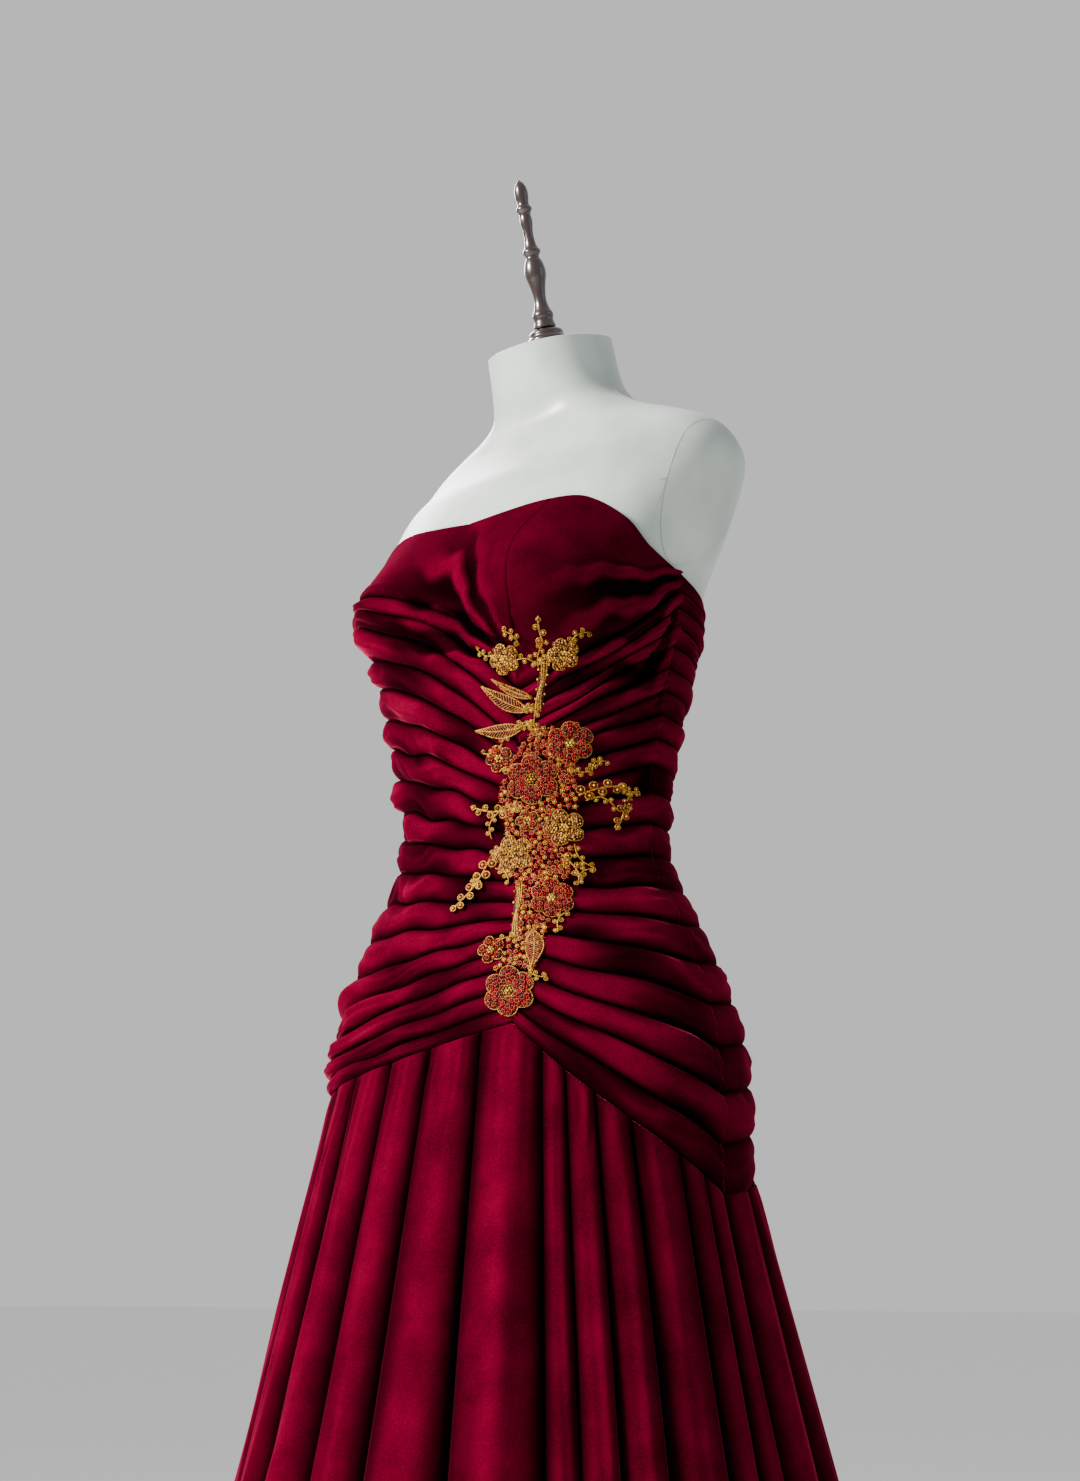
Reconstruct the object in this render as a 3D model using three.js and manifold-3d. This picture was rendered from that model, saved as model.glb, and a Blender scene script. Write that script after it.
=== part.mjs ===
// Strapless ruched evening dress on a limbless dress form, with its stand.
// Millimetres, +Z up, wearer's front towards -Y, wearer's left towards +X.
// The origin is the centre of the underside of the round base, on the floor.
// Angles around the figure are degrees from the centre front, growing towards the wearer's left.

import * as THREE from "three";
import Module from "manifold-3d";

const CLOTH = 2.0; // velvet with its backing, drawn as one wall
const SKIRT_CLOTH = 2.6; // measured outwards, so that it stays over 1 mm on the steep flanks of folds
const SEAM_GAP = 0.3; // between pieces that are sewn or seated together
const FIGURE_POWER = 2.25; // 2 would make each section an ellipse, more makes it squarer
const BODICE_EASE = 2.4; // form to the inside of the bodice
const TOP_EASE = 1.4; // the top edge grips the form
const FORM_INSET = 5; // the form lies this much deeper where the bodice covers it
const GATHER_ANGLE = 26; // the swept gathering line, towards the wearer's left
const SEAM_ANGLE = 86; // side seams
const BACK_ANGLE = 180; // centre back
const PEAK_HEIGHT = 868; // top of the pointed lower edge of the bodice
const LEFT_DROP_HEIGHT = 736; // lower edge at the left side seam
const RIGHT_DROP_HEIGHT = 816; // lower edge at the right side seam
const BACK_DROP_HEIGHT = 790; // lower edge at the centre back
const HEM_HEIGHT = 12; // the hem clears the floor
const TOP_BAND = 30; // depth of the band below the top edge over which the bodice eases out
const SHOULDER_HEIGHT = 1338; // the form is widest here
const RADIUS = { hip: 120, gather: 90, back: 84 }; // usual distances from the axis, for seam gaps
// Degrees off the gathering line where the low folds under the spray end and full folds begin
const SPRAY_SIDES = { clear: 30, full: 50 };
// Share of a fold's rise that is left at the gathering line, and the degrees over which it comes back
const GATHER_PRESS = { share: 0.7, reach: 25 };
const BACK_FADE = { seam: 0.7, zip: 0.15 }; // share of a fold's rise at both ends of a back panel
const FOLD_GROWTH = 0.75; // power of the drop by which the skirt's folds open
const FRONT_SPANS = { right: 12, left: 8 };
const BACK_SPANS = 8;
const ZIP = { width: 5, thickness: 1.2, below: 4, above: 1, levels: 12, stand: 0.4 };

// Sections of the figure: height, half width, depth to the front and back,
// how far the section sits back, how far it turns to the wearer's right, and its forward tilt
const FIGURE_ROWS = [
  { z: 640, half: 178, front: 118, back: 128, set: 0, turn: 0, tilt: 0 },
  { z: 720, half: 178, front: 117, back: 128, set: 0, turn: 0, tilt: 0 },
  { z: 800, half: 176, front: 116, back: 124, set: 0, turn: 0, tilt: 0 },
  { z: 860, half: 172, front: 113, back: 121, set: 0, turn: 0, tilt: 0 },
  { z: 930, half: 150, front: 102, back: 101, set: 0, turn: 0, tilt: 0 },
  { z: 1000, half: 117, front: 88, back: 81, set: 0, turn: 0, tilt: 0 },
  { z: 1030, half: 111, front: 84, back: 77, set: 0, turn: 0, tilt: 0 },
  { z: 1080, half: 115, front: 85, back: 81, set: 0, turn: 0, tilt: 0 },
  { z: 1140, half: 127, front: 93, back: 93, set: 0, turn: 0, tilt: 0 },
  { z: 1190, half: 137, front: 101, back: 104, set: 2, turn: 1, tilt: 0 },
  { z: 1240, half: 148, front: 104, back: 106, set: 6, turn: 3, tilt: 0 },
  { z: 1292, half: 166, front: 108, back: 94, set: 28, turn: 7, tilt: 0 },
  { z: SHOULDER_HEIGHT, half: 179, front: 108, back: 62, set: 54, turn: 10, tilt: 0 },
  { z: 1361, half: 175, front: 90, back: 54, set: 56, turn: 12, tilt: 0 },
  { z: 1381, half: 158, front: 72, back: 52, set: 52, turn: 12, tilt: 0 },
  { z: 1394, half: 131, front: 62, back: 52, set: 47, turn: 12, tilt: 1 },
  { z: 1406, half: 98, front: 54, back: 52, set: 41, turn: 12, tilt: 3 },
  { z: 1419, half: 72, front: 52, back: 51, set: 36, turn: 12, tilt: 6 },
  { z: 1436, half: 60, front: 50, back: 51, set: 27, turn: 12, tilt: 9 },
  { z: 1476, half: 54, front: 50, back: 52, set: 16, turn: 12, tilt: 14 },
];

// The two bust mounds of the form
const BUST = { angle: 34, z: 1222, rise: 34, spread: 24, above: 52, below: 42 };

// Height of the top edge of the bodice around the figure, the same on both sides
const NECKLINE_ROWS = [
  { angle: 0, z: 1293 },
  { angle: 20, z: 1297 },
  { angle: 40, z: 1302 },
  { angle: 50, z: 1299 },
  { angle: 63, z: 1278 },
  { angle: 72, z: 1256 },
  { angle: 86, z: 1240 },
  { angle: 110, z: 1226 },
  { angle: 150, z: 1208 },
  { angle: 180, z: 1204 },
];

// Angle of the gathering line from the V peak up to the near cup
const GATHER_ROWS = [
  { z: 868, angle: 26 },
  { z: 1150, angle: 26 },
  { z: 1210, angle: 26 },
  { z: 1262, angle: 28 },
  { z: 1300, angle: 38 },
];

// Folds of the two front panels from the top edge down: height at the gathering line and at the
// side seam, share of the neckline's curve that the fold follows, how far it bows up between
// its ends, and the rise of the fold below it
const RIGHT_FOLDS = [
  { centre: 1300, side: 1240, crown: 1, bow: 0, rise: 0 },
  { centre: 1262, side: 1238, crown: 0.7, bow: 5, rise: 0 },
  { centre: 1210, side: 1236, crown: 0.3, bow: 15, rise: 2.5 },
  { centre: 1168, side: 1232, crown: 0.1, bow: 28, rise: 5.5 },
  { centre: 1140, side: 1224, crown: 0, bow: 36, rise: 6 },
  { centre: 1116, side: 1212, crown: 0, bow: 36, rise: 6.5 },
  { centre: 1097, side: 1198, crown: 0, bow: 25, rise: 6 },
  { centre: 1083, side: 1182, crown: 0, bow: 14, rise: 6.5 },
  { centre: 1068, side: 1156, crown: 0, bow: 8, rise: 6 },
  { centre: 1055, side: 1128, crown: 0, bow: 4, rise: 6 },
  { centre: 1040, side: 1100, crown: 0, bow: 2, rise: 6.5 },
  { centre: 1022, side: 1071, crown: 0, bow: 0, rise: 5 },
  { centre: 1003, side: 1045, crown: 0, bow: 0, rise: 7 },
  { centre: 982, side: 1016, crown: 0, bow: 0, rise: 6 },
  { centre: 966, side: 983, crown: 0, bow: 0, rise: 5 },
  { centre: 953, side: 948, crown: 0, bow: 0, rise: 5.5 },
  { centre: 941, side: 911, crown: 0, bow: 0, rise: 7.5 },
  { centre: 929, side: 880, crown: 0, bow: 0, rise: 8 },
  { centre: 915, side: 859, crown: 0, bow: 0, rise: 7.5 },
  { centre: 898, side: 842, crown: 0, bow: 0, rise: 8 },
  { centre: 882, side: 828, crown: 0, bow: 0, rise: 6 },
  { centre: PEAK_HEIGHT, side: RIGHT_DROP_HEIGHT, crown: 0, bow: 0, rise: 0 },
];

const LEFT_FOLDS = [
  { centre: 1300, side: 1240, crown: 1, bow: 0, rise: 0 },
  { centre: 1262, side: 1238, crown: 0.7, bow: 0, rise: 0 },
  { centre: 1210, side: 1236, crown: 0.3, bow: 0, rise: 0 },
  { centre: 1162, side: 1233, crown: 0.1, bow: -6, rise: 3 },
  { centre: 1138, side: 1226, crown: 0, bow: -10, rise: 6 },
  { centre: 1126, side: 1212, crown: 0, bow: -10, rise: 6.5 },
  { centre: 1116, side: 1197, crown: 0, bow: -8, rise: 6 },
  { centre: 1106, side: 1181, crown: 0, bow: -6, rise: 5 },
  { centre: 1096, side: 1163, crown: 0, bow: -4, rise: 6 },
  { centre: 1085, side: 1144, crown: 0, bow: -2, rise: 5 },
  { centre: 1073, side: 1125, crown: 0, bow: 0, rise: 6 },
  { centre: 1060, side: 1105, crown: 0, bow: 0, rise: 5.5 },
  { centre: 1046, side: 1084, crown: 0, bow: 0, rise: 6 },
  { centre: 1030, side: 1061, crown: 0, bow: 0, rise: 7 },
  { centre: 1013, side: 1036, crown: 0, bow: 0, rise: 6 },
  { centre: 995, side: 1009, crown: 0, bow: 0, rise: 5 },
  { centre: 977, side: 981, crown: 0, bow: 0, rise: 6 },
  { centre: 960, side: 951, crown: 0, bow: 0, rise: 8 },
  { centre: 944, side: 919, crown: 0, bow: 0, rise: 9 },
  { centre: 928, side: 886, crown: 0, bow: 0, rise: 8 },
  { centre: 912, side: 852, crown: 0, bow: 0, rise: 10 },
  { centre: 897, side: 816, crown: 0, bow: 0, rise: 9 },
  { centre: 882, side: 776, crown: 0, bow: 0, rise: 8 },
  { centre: PEAK_HEIGHT, side: LEFT_DROP_HEIGHT, crown: 0, bow: 0, rise: 0 },
];

// Where each fold is sampled between one valley and the next, and how high it stands there
const FRONT_STEPS = [
  { part: 0, height: 0 },
  { part: 0.34, height: 1 },
  { part: 0.72, height: 0.75 },
];
const BACK_STEPS = [
  { part: 0, height: 0 },
  { part: 0.45, height: 1 },
];
const PLAIN_STEPS = [
  { part: 0, height: 0 },
  { part: 0.5, height: 0 },
];

// Skirt folds: angle of the valley where each starts and its depth at the hem
const SKIRT_FOLDS = [
  { angle: -86, depth: 26 },
  { angle: -73, depth: 30 },
  { angle: -60, depth: 34 },
  { angle: -46, depth: 34 },
  { angle: -28, depth: 20 },
  { angle: -10, depth: 26 },
  { angle: 13, depth: 38 },
  { angle: 36, depth: 22 },
  { angle: 43, depth: 28 },
  { angle: 51, depth: 26 },
  { angle: 60, depth: 34 },
  { angle: 72, depth: 22 },
  { angle: 79, depth: 24 },
  { angle: 86, depth: 28 },
  { angle: 99, depth: 32 },
  { angle: 111, depth: 24 },
  { angle: 125, depth: 34 },
  { angle: 139, depth: 28 },
  { angle: 152, depth: 36 },
  { angle: 166, depth: 26 },
  { angle: 180, depth: 26 },
  { angle: 194, depth: 36 },
  { angle: 208, depth: 28 },
  { angle: 221, depth: 34 },
  { angle: 235, depth: 24 },
  { angle: 249, depth: 32 },
  { angle: 261, depth: 26 },
  { angle: 274, depth: 0 },
];
const SKIRT_STEPS = [
  { part: 0, height: 0 },
  { part: 0.3, height: 0.9 },
  { part: 0.68, height: 1 },
];
const SKIRT_LEVELS = [0, 0.04, 0.12, 0.25, 0.43, 0.7, 1]; // share of the way to the hem
const SKIRT_FLARE = { mean: 0.235, front: 0.03 }; // outward mm for each mm down, less at the front
const SKIRT_TOP_RISE = 3.5; // gathers where the skirt joins the bodice
const FOLD_INWARD_SHARE = 0.4; // the part of each free fold that lies inside the mean flare

// Motifs of the embroidered spray: angle, height, size and, for a leaf, its direction in degrees
// from the wearer's left, all on the outside of the front panels
const FLOWERS = [
  { name: "spray_blossom_left", angle: 21, z: 1163, radius: 12, petals: 5 },
  { name: "spray_blossom_right", angle: 44, z: 1163, radius: 12, petals: 5 },
  { name: "flower_upper", angle: 48, z: 1094, radius: 17, petals: 6 },
  { name: "bud_left", angle: 16, z: 1085, radius: 11, petals: 5 },
  { name: "flower_middle", angle: 32, z: 1066, radius: 20, petals: 6 },
  { name: "flower_core", angle: 30, z: 1033, radius: 9, petals: 5 },
  { name: "flower_gold_right", angle: 46, z: 1026, radius: 15, petals: 5 },
  { name: "flower_gold_left", angle: 23, z: 1006, radius: 16, petals: 5 },
  { name: "flower_lower", angle: 40, z: 968, radius: 16, petals: 6 },
  { name: "bud_foot", angle: 16, z: 928, radius: 11, petals: 5 },
  { name: "flower_foot", angle: 24, z: 894, radius: 20, petals: 6 },
];
const LEAVES = [
  { name: "spray_tip", angle: 37, z: 1172, length: 20, width: 8, heading: 100 },
  { name: "spray_stem", angle: 35, z: 1120, length: 38, width: 8, heading: 84 },
  { name: "leaf_high", angle: 30.5, z: 1121, length: 44, width: 11, heading: 148 },
  { name: "leaf_low", angle: 28, z: 1108, length: 40, width: 11, heading: 178 },
  { name: "sprig_left", angle: 20, z: 1042, length: 32, width: 10, heading: 168 },
  { name: "curl_right", angle: 52, z: 1052, length: 34, width: 12, heading: 15 },
  { name: "curl_drop", angle: 70, z: 1050, length: 26, width: 10, heading: 255 },
  { name: "twig_right", angle: 45, z: 1003, length: 24, width: 9, heading: 300 },
  { name: "sprig_low", angle: 12, z: 1004, length: 50, width: 12, heading: 235 },
  { name: "stem_low", angle: 27, z: 982, length: 46, width: 8, heading: 268 },
  { name: "leaf_foot", angle: 33, z: 942, length: 30, width: 13, heading: 268 },
];
const MOTIF_CLEARANCE = 0.4; // above the crests that the motif bridges
const MOTIF_BASE = 1.0; // embroidered net and cords
const MOTIF_BEADING = 2.2; // beads and cord on top of it
// Share of a motif's size at its raised middle, between two petals and at a leaf's tip
const MOTIF = { core: 0.5, notch: 0.7, tip: 0.25 };
const LEAF_STATIONS = [0, 0.15, 0.4, 0.65, 0.85, 1]; // shares of a leaf's length
const VEIN = { from: 0.1, to: 0.9 }; // the raised vein stops short of both tips
const PLAIN_CUP = { from: 1184, to: 1192 }; // the near cup has no folds above this
const FRONT_CREST = 3.2; // highest crest under the spray
const SIDE_CREST = 7; // highest crest beside it, from 50 degrees off the gathering line

const BASE_TOP = 34;
const BASE_PROFILE = [
  [0, 0], [195, 0], [195, 5], [183, 10], [44, 16], [30, 18], [24, BASE_TOP], [0, BASE_TOP],
];
const BASE_SEGMENTS = 32;
const POLE_RADIUS = 14;
const POLE_SEGMENTS = 20;
const FORM_PLATE = { radius: 60, thickness: 10, foot: 36, slope: 4, segments: 24 };

// Turned finial: radius and height of each bead and cove, from each piece's own foot
const FINIAL_SEAT = 1; // how far its foot stands off the neck's rim plane
const FINIAL_FOOT_HEIGHT = 18;
const FINIAL_FOOT = [
  [0, 0], [19, 0], [20, 3], [17, 6], [18, 9], [15, 12], [15.5, 15],
  [12, FINIAL_FOOT_HEIGHT], [0, FINIAL_FOOT_HEIGHT],
];
const FINIAL_SEGMENTS = 14;
const FINIAL_SPINDLE = [
  [0, 0], [11, 0], [8, 8], [10, 13], [7, 18], [5, 27], [7, 40], [10, 50], [8.5, 60], [5, 66],
  [9, 70], [5, 75], [4, 88], [6, 98], [4.5, 105], [8, 109], [4.5, 113], [6.5, 122], [5, 131], [0, 136],
];
const SPINDLE_SEGMENTS = 12;

const ARM_PLANE = { x: 160, lean: 7, foot: 1225 }; // the arm caps are parted from the torso here
const SLIDER = { width: 7, depth: 2.6, height: 10, top: 8, stand: 0.8 };
const LUG = { width: 1.2, height: 3.2, bite: 0.7 }; // the pin ends inside the lugs, by this share of them
const PIN_SIDES = 12;
const EYE_SIDES = 16;
const PIVOT = { radius: 0.7, eye: 1.05, ring: 2.1, stand: 2.4 };
const PULL = { width: 3.4, length: 24, thickness: 1.5, below: 1 };

const FINISHES = {
  velvet: new THREE.MeshStandardMaterial({ color: 0x8e0f36, roughness: 0.85, metalness: 0 }),
  form: new THREE.MeshStandardMaterial({ color: 0xd8e4de, roughness: 0.45, metalness: 0 }),
  wood: new THREE.MeshStandardMaterial({ color: 0x1a0f0a, roughness: 0.25, metalness: 0 }),
  gold: new THREE.MeshStandardMaterial({ color: 0xc8963c, roughness: 0.5, metalness: 0.4 }),
  beads: new THREE.MeshStandardMaterial({ color: 0x9a1426, roughness: 0.3, metalness: 0 }),
  zip: new THREE.MeshStandardMaterial({ color: 0x5a0a22, roughness: 0.5, metalness: 0 }),
  steel: new THREE.MeshStandardMaterial({ color: 0x9a9a9e, roughness: 0.35, metalness: 1 }),
  enamel: new THREE.MeshStandardMaterial({ color: 0x1c1b1c, roughness: 0.45, metalness: 0 }),
};

const radians = (degrees) => THREE.MathUtils.degToRad(degrees);
const mix = (a, b, share) => a + (b - a) * share;

// Smooth curve through a table's rows, with slopes taken from each row's neighbours
function curveAt(rows, key, value, x) {
  const last = rows.length - 1;
  const at = THREE.MathUtils.clamp(x, rows[0][key], rows[last][key]);
  let k = 0;
  while (k < last - 1 && at > rows[k + 1][key]) {
    k += 1;
  }
  const slope = (i) => {
    const lower = rows[Math.max(i - 1, 0)];
    const upper = rows[Math.min(i + 1, last)];
    return (upper[value] - lower[value]) / (upper[key] - lower[key]);
  };
  const span = rows[k + 1][key] - rows[k][key];
  const t = (at - rows[k][key]) / span;
  const start = rows[k][value] * (1 + 2 * t) * (1 - t) ** 2 + slope(k) * span * t * (1 - t) ** 2;
  const end = rows[k + 1][value] * t * t * (3 - 2 * t) + slope(k + 1) * span * t * t * (t - 1);
  return start + end;
}

// Distance from the section's centre to the figure's surface
function figureRadius(angle, z) {
  const half = curveAt(FIGURE_ROWS, "z", "half", z);
  const depth = curveAt(FIGURE_ROWS, "z", Math.cos(radians(angle)) > 0 ? "front" : "back", z);
  const across = Math.abs(Math.sin(radians(angle)) / half) ** FIGURE_POWER;
  const along = Math.abs(Math.cos(radians(angle)) / depth) ** FIGURE_POWER;
  const fromCentre = z - BUST.z;
  const tall = fromCentre > 0 ? BUST.above : BUST.below;
  const wrapped = THREE.MathUtils.euclideanModulo(angle + 180, 360) - 180;
  const mound = (side) => {
    const aside = (wrapped - side * BUST.angle) / BUST.spread;
    return BUST.rise * Math.exp(-(aside ** 2) - (fromCentre / tall) ** 2);
  };
  return (across + along) ** (-1 / FIGURE_POWER) + mound(1) + mound(-1);
}

// Places a point given by its angle, distance from the section's centre and height
function placed(angle, radius, z) {
  const set = curveAt(FIGURE_ROWS, "z", "set", z);
  const turn = -radians(curveAt(FIGURE_ROWS, "z", "turn", z));
  const tilt = Math.sin(radians(curveAt(FIGURE_ROWS, "z", "tilt", z)));
  const x = radius * Math.sin(radians(angle));
  const back = -radius * Math.cos(radians(angle));
  const y = set + back;
  return new THREE.Vector3(
    x * Math.cos(turn) - y * Math.sin(turn),
    x * Math.sin(turn) + y * Math.cos(turn),
    z + back * tilt,
  );
}

function onFigure(angle, z, out) {
  return placed(angle, figureRadius(angle, z) + out, z);
}

function necklineHeight(angle) {
  const folded = Math.abs(THREE.MathUtils.euclideanModulo(angle + 180, 360) - 180);
  return curveAt(NECKLINE_ROWS, "angle", "z", folded);
}

// Height of the bodice's lower edge: straight in angle between the peak, the seams and the back
function lowerEdgeHeight(angle) {
  const corners = [
    { angle: -SEAM_ANGLE, z: RIGHT_DROP_HEIGHT },
    { angle: GATHER_ANGLE, z: PEAK_HEIGHT },
    { angle: SEAM_ANGLE, z: LEFT_DROP_HEIGHT },
    { angle: BACK_ANGLE, z: BACK_DROP_HEIGHT },
    { angle: 360 - SEAM_ANGLE, z: RIGHT_DROP_HEIGHT },
  ];
  let k = 0;
  while (k < corners.length - 2 && angle > corners[k + 1].angle) {
    k += 1;
  }
  const share = (angle - corners[k].angle) / (corners[k + 1].angle - corners[k].angle);
  return mix(corners[k].z, corners[k + 1].z, share);
}

// Turns a seam's gap in millimetres into degrees at a usual distance from the axis
function gapAngle(gap, radius = RADIUS.hip) {
  return THREE.MathUtils.radToDeg(gap / radius);
}

// Makes one closed mesh of vertices and triangles, turned so that its faces point out
function solid(name, points, triangles, material) {
  let volume = 0;
  const cross = new THREE.Vector3();
  for (const [a, b, c] of triangles) {
    volume += points[a].dot(cross.crossVectors(points[b], points[c]));
  }
  const index = triangles.flatMap(([a, b, c]) => (volume > 0 ? [a, b, c] : [a, c, b]));
  const geometry = new THREE.BufferGeometry();
  geometry.setAttribute("position", new THREE.Float32BufferAttribute(points.flatMap((p) => p.toArray()), 3));
  geometry.setIndex(index);
  geometry.computeVertexNormals();
  const mesh = new THREE.Mesh(geometry, material);
  mesh.name = name;
  return mesh;
}

// A sheet with two faces: pointAt gives the point of a row and column on the outer or inner face
function wall(name, rows, columns, pointAt, material) {
  const points = [];
  for (const face of ["outer", "inner"]) {
    for (let i = 0; i < rows; i += 1) {
      for (let j = 0; j < columns; j += 1) {
        points.push(pointAt(i, j, face));
      }
    }
  }
  const count = rows * columns;
  const at = (i, j) => i * columns + j;
  const triangles = [];
  const quad = (a, b, c, d) => triangles.push([a, b, c], [a, c, d]);
  for (let i = 0; i < rows - 1; i += 1) {
    for (let j = 0; j < columns - 1; j += 1) {
      const corners = [at(i, j), at(i, j + 1), at(i + 1, j + 1), at(i + 1, j)];
      quad(...corners);
      quad(...corners.map((corner) => corner + count).reverse());
    }
  }
  const rim = [];
  for (let j = 0; j < columns - 1; j += 1) {
    rim.push([at(0, j + 1), at(0, j)]);
    rim.push([at(rows - 1, j), at(rows - 1, j + 1)]);
  }
  for (let i = 0; i < rows - 1; i += 1) {
    rim.push([at(i, 0), at(i + 1, 0)]);
    rim.push([at(i + 1, columns - 1), at(i, columns - 1)]);
  }
  rim.forEach(([a, b]) => quad(a, b, b + count, a + count));
  return solid(name, points, triangles, material);
}

// Rings of equal count joined in order, with a fan closing each end
function loft(name, rings, material) {
  const count = rings[0].length;
  const points = rings.flat();
  const triangles = [];
  for (let i = 0; i < rings.length - 1; i += 1) {
    for (let j = 0; j < count; j += 1) {
      const next = (j + 1) % count;
      const a = i * count + j;
      const b = i * count + next;
      triangles.push([a, b, b + count], [a, b + count, a + count]);
    }
  }
  const middle = (ring) => ring.reduce((sum, p) => sum.add(p), new THREE.Vector3()).divideScalar(count);
  const foot = points.push(middle(rings[0])) - 1;
  const head = points.push(middle(rings[rings.length - 1])) - 1;
  const lastRing = (rings.length - 1) * count;
  for (let j = 0; j < count; j += 1) {
    const next = (j + 1) % count;
    triangles.push([foot, next, j], [head, lastRing + j, lastRing + next]);
  }
  return solid(name, points, triangles, material);
}

// A table of folds sampled from valley to valley
function foldLines(folds, steps) {
  const lines = [];
  for (let k = 0; k < folds.length - 1; k += 1) {
    for (const step of folds[k].rise > 0 ? steps : PLAIN_STEPS) {
      lines.push({
        centre: mix(folds[k].centre, folds[k + 1].centre, step.part),
        side: mix(folds[k].side, folds[k + 1].side, step.part),
        crown: mix(folds[k].crown, folds[k + 1].crown, step.part),
        bow: mix(folds[k].bow, folds[k + 1].bow, step.part),
        rise: folds[k].rise * step.height,
      });
    }
  }
  lines.push(folds[folds.length - 1]);
  return lines;
}

// The inside of the bodice stands off the form except near the top edge
function bodiceEase(angle, z) {
  const below = necklineHeight(angle) - z;
  return mix(TOP_EASE, BODICE_EASE, THREE.MathUtils.clamp(below / TOP_BAND, 0, 1));
}

// The form is slimmer under the bodice than the figure that the cloth follows
function formInset(angle, z) {
  const below = necklineHeight(angle) - z;
  return -FORM_INSET * THREE.MathUtils.clamp(below / TOP_BAND, 0, 1);
}

// From 0 at the gathering line to 1 well beside the embroidered spray
function awayFromSpray(angle) {
  return THREE.MathUtils.smoothstep(Math.abs(angle - GATHER_ANGLE), SPRAY_SIDES.clear, SPRAY_SIDES.full);
}

// Folds are pressed flatter where they run into the gathering line
function pressed(angle) {
  const away = THREE.MathUtils.smoothstep(Math.abs(angle - GATHER_ANGLE), 0, GATHER_PRESS.reach);
  return mix(GATHER_PRESS.share, 1, away);
}

// A ruched front panel: folds run from the gathering line to a side seam
function frontPanel(name, side, folds, spans) {
  const lines = foldLines(folds, FRONT_STEPS);
  const seamAngle = side * SEAM_ANGLE - side * gapAngle(SEAM_GAP / 2);
  return wall(name, lines.length, spans + 1, (i, j, face) => {
    const line = lines[i];
    const share = j / spans;
    const gather = curveAt(GATHER_ROWS, "z", "angle", line.centre);
    const angle = mix(gather + side * gapAngle(SEAM_GAP / 2, RADIUS.gather), seamAngle, share);
    const along = (angle - gather) / (side * SEAM_ANGLE - gather);
    const arch = necklineHeight(angle) - mix(necklineHeight(gather), necklineHeight(SEAM_ANGLE), along);
    const bowed = line.bow * Math.sin(Math.PI * along);
    const z = mix(line.centre, line.side, along) + line.crown * arch + bowed;
    const swell = mix(Math.min(line.rise, FRONT_CREST), line.rise, awayFromSpray(angle));
    const ease = bodiceEase(angle, z) + swell * pressed(angle);
    return onFigure(angle, z, face === "outer" ? ease + CLOTH : ease);
  }, FINISHES.velvet);
}

// A back panel carries the side seam's folds round to the zip, where they die away
function backPanel(name, side, folds, spans) {
  const lines = foldLines(folds, BACK_STEPS);
  const seamAngle = side * SEAM_ANGLE + side * gapAngle(SEAM_GAP / 2);
  const zipAngle = side * BACK_ANGLE - side * gapAngle(ZIP.width / 2 + SEAM_GAP, RADIUS.back);
  const top = lines[0].side;
  const foot = lines[lines.length - 1].side;
  return wall(name, lines.length, spans + 1, (i, j, face) => {
    const line = lines[i];
    const share = j / spans;
    const angle = mix(seamAngle, zipAngle, share);
    const along = (Math.abs(angle) - SEAM_ANGLE) / (BACK_ANGLE - SEAM_ANGLE);
    const down = (top - line.side) / (top - foot);
    const backZ = mix(necklineHeight(BACK_ANGLE), BACK_DROP_HEIGHT, down);
    const arch = necklineHeight(angle) - mix(necklineHeight(SEAM_ANGLE), necklineHeight(BACK_ANGLE), along);
    const z = mix(line.side, backZ, along) + line.crown * arch;
    const ease = bodiceEase(angle, z) + line.rise * mix(BACK_FADE.seam, BACK_FADE.zip, share);
    return onFigure(angle, z, face === "outer" ? ease + CLOTH : ease);
  }, FINISHES.velvet);
}

// Point of the skirt: the hip's section pushed out by the flare and the folds as it drops
function skirtPoint(angle, share, crest, depth, face) {
  const top = lowerEdgeHeight(angle) - SEAM_GAP;
  const z = mix(top, HEM_HEIGHT, share);
  const drop = top - z;
  const flare = SKIRT_FLARE.mean - SKIRT_FLARE.front * Math.cos(radians(angle));
  const grown = share ** FOLD_GROWTH;
  const fold = mix(SKIRT_TOP_RISE, depth, grown) * crest - depth * grown * FOLD_INWARD_SHARE;
  const out = BODICE_EASE + flare * drop + fold + (face === "outer" ? SKIRT_CLOTH : 0);
  const radius = figureRadius(angle, top) + out;
  return new THREE.Vector3(radius * Math.sin(radians(angle)), -radius * Math.cos(radians(angle)), z);
}

// A skirt gore between two angles of the fold table
function skirtGore(name, from, to) {
  const folds = SKIRT_FOLDS.filter((fold) => fold.angle >= from && fold.angle <= to);
  const columns = [];
  for (let k = 0; k < folds.length - 1; k += 1) {
    for (const step of SKIRT_STEPS) {
      const angle = mix(folds[k].angle, folds[k + 1].angle, step.part);
      columns.push({ angle, crest: step.height, depth: folds[k].depth });
    }
  }
  columns[0].angle += gapAngle(SEAM_GAP / 2);
  columns.push({ angle: to - gapAngle(SEAM_GAP / 2), crest: 0, depth: folds[folds.length - 2].depth });
  return wall(name, SKIRT_LEVELS.length, columns.length, (i, j, face) => {
    const column = columns[j];
    return skirtPoint(column.angle, SKIRT_LEVELS[i], column.crest, column.depth, face);
  }, FINISHES.velvet);
}

const COLUMNS_ROUND_FORM = 36;
const FORM_LEVELS = [
  640, 720, 800, 860, 900, 940, 975, 1005, 1035, 1080, 1120, 1155, 1180, 1200, 1220, 1240, 1262,
  1288, 1315, 1340, 1360, 1376, 1390, 1402, 1412, 1424, 1436, 1450, 1476,
];

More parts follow.
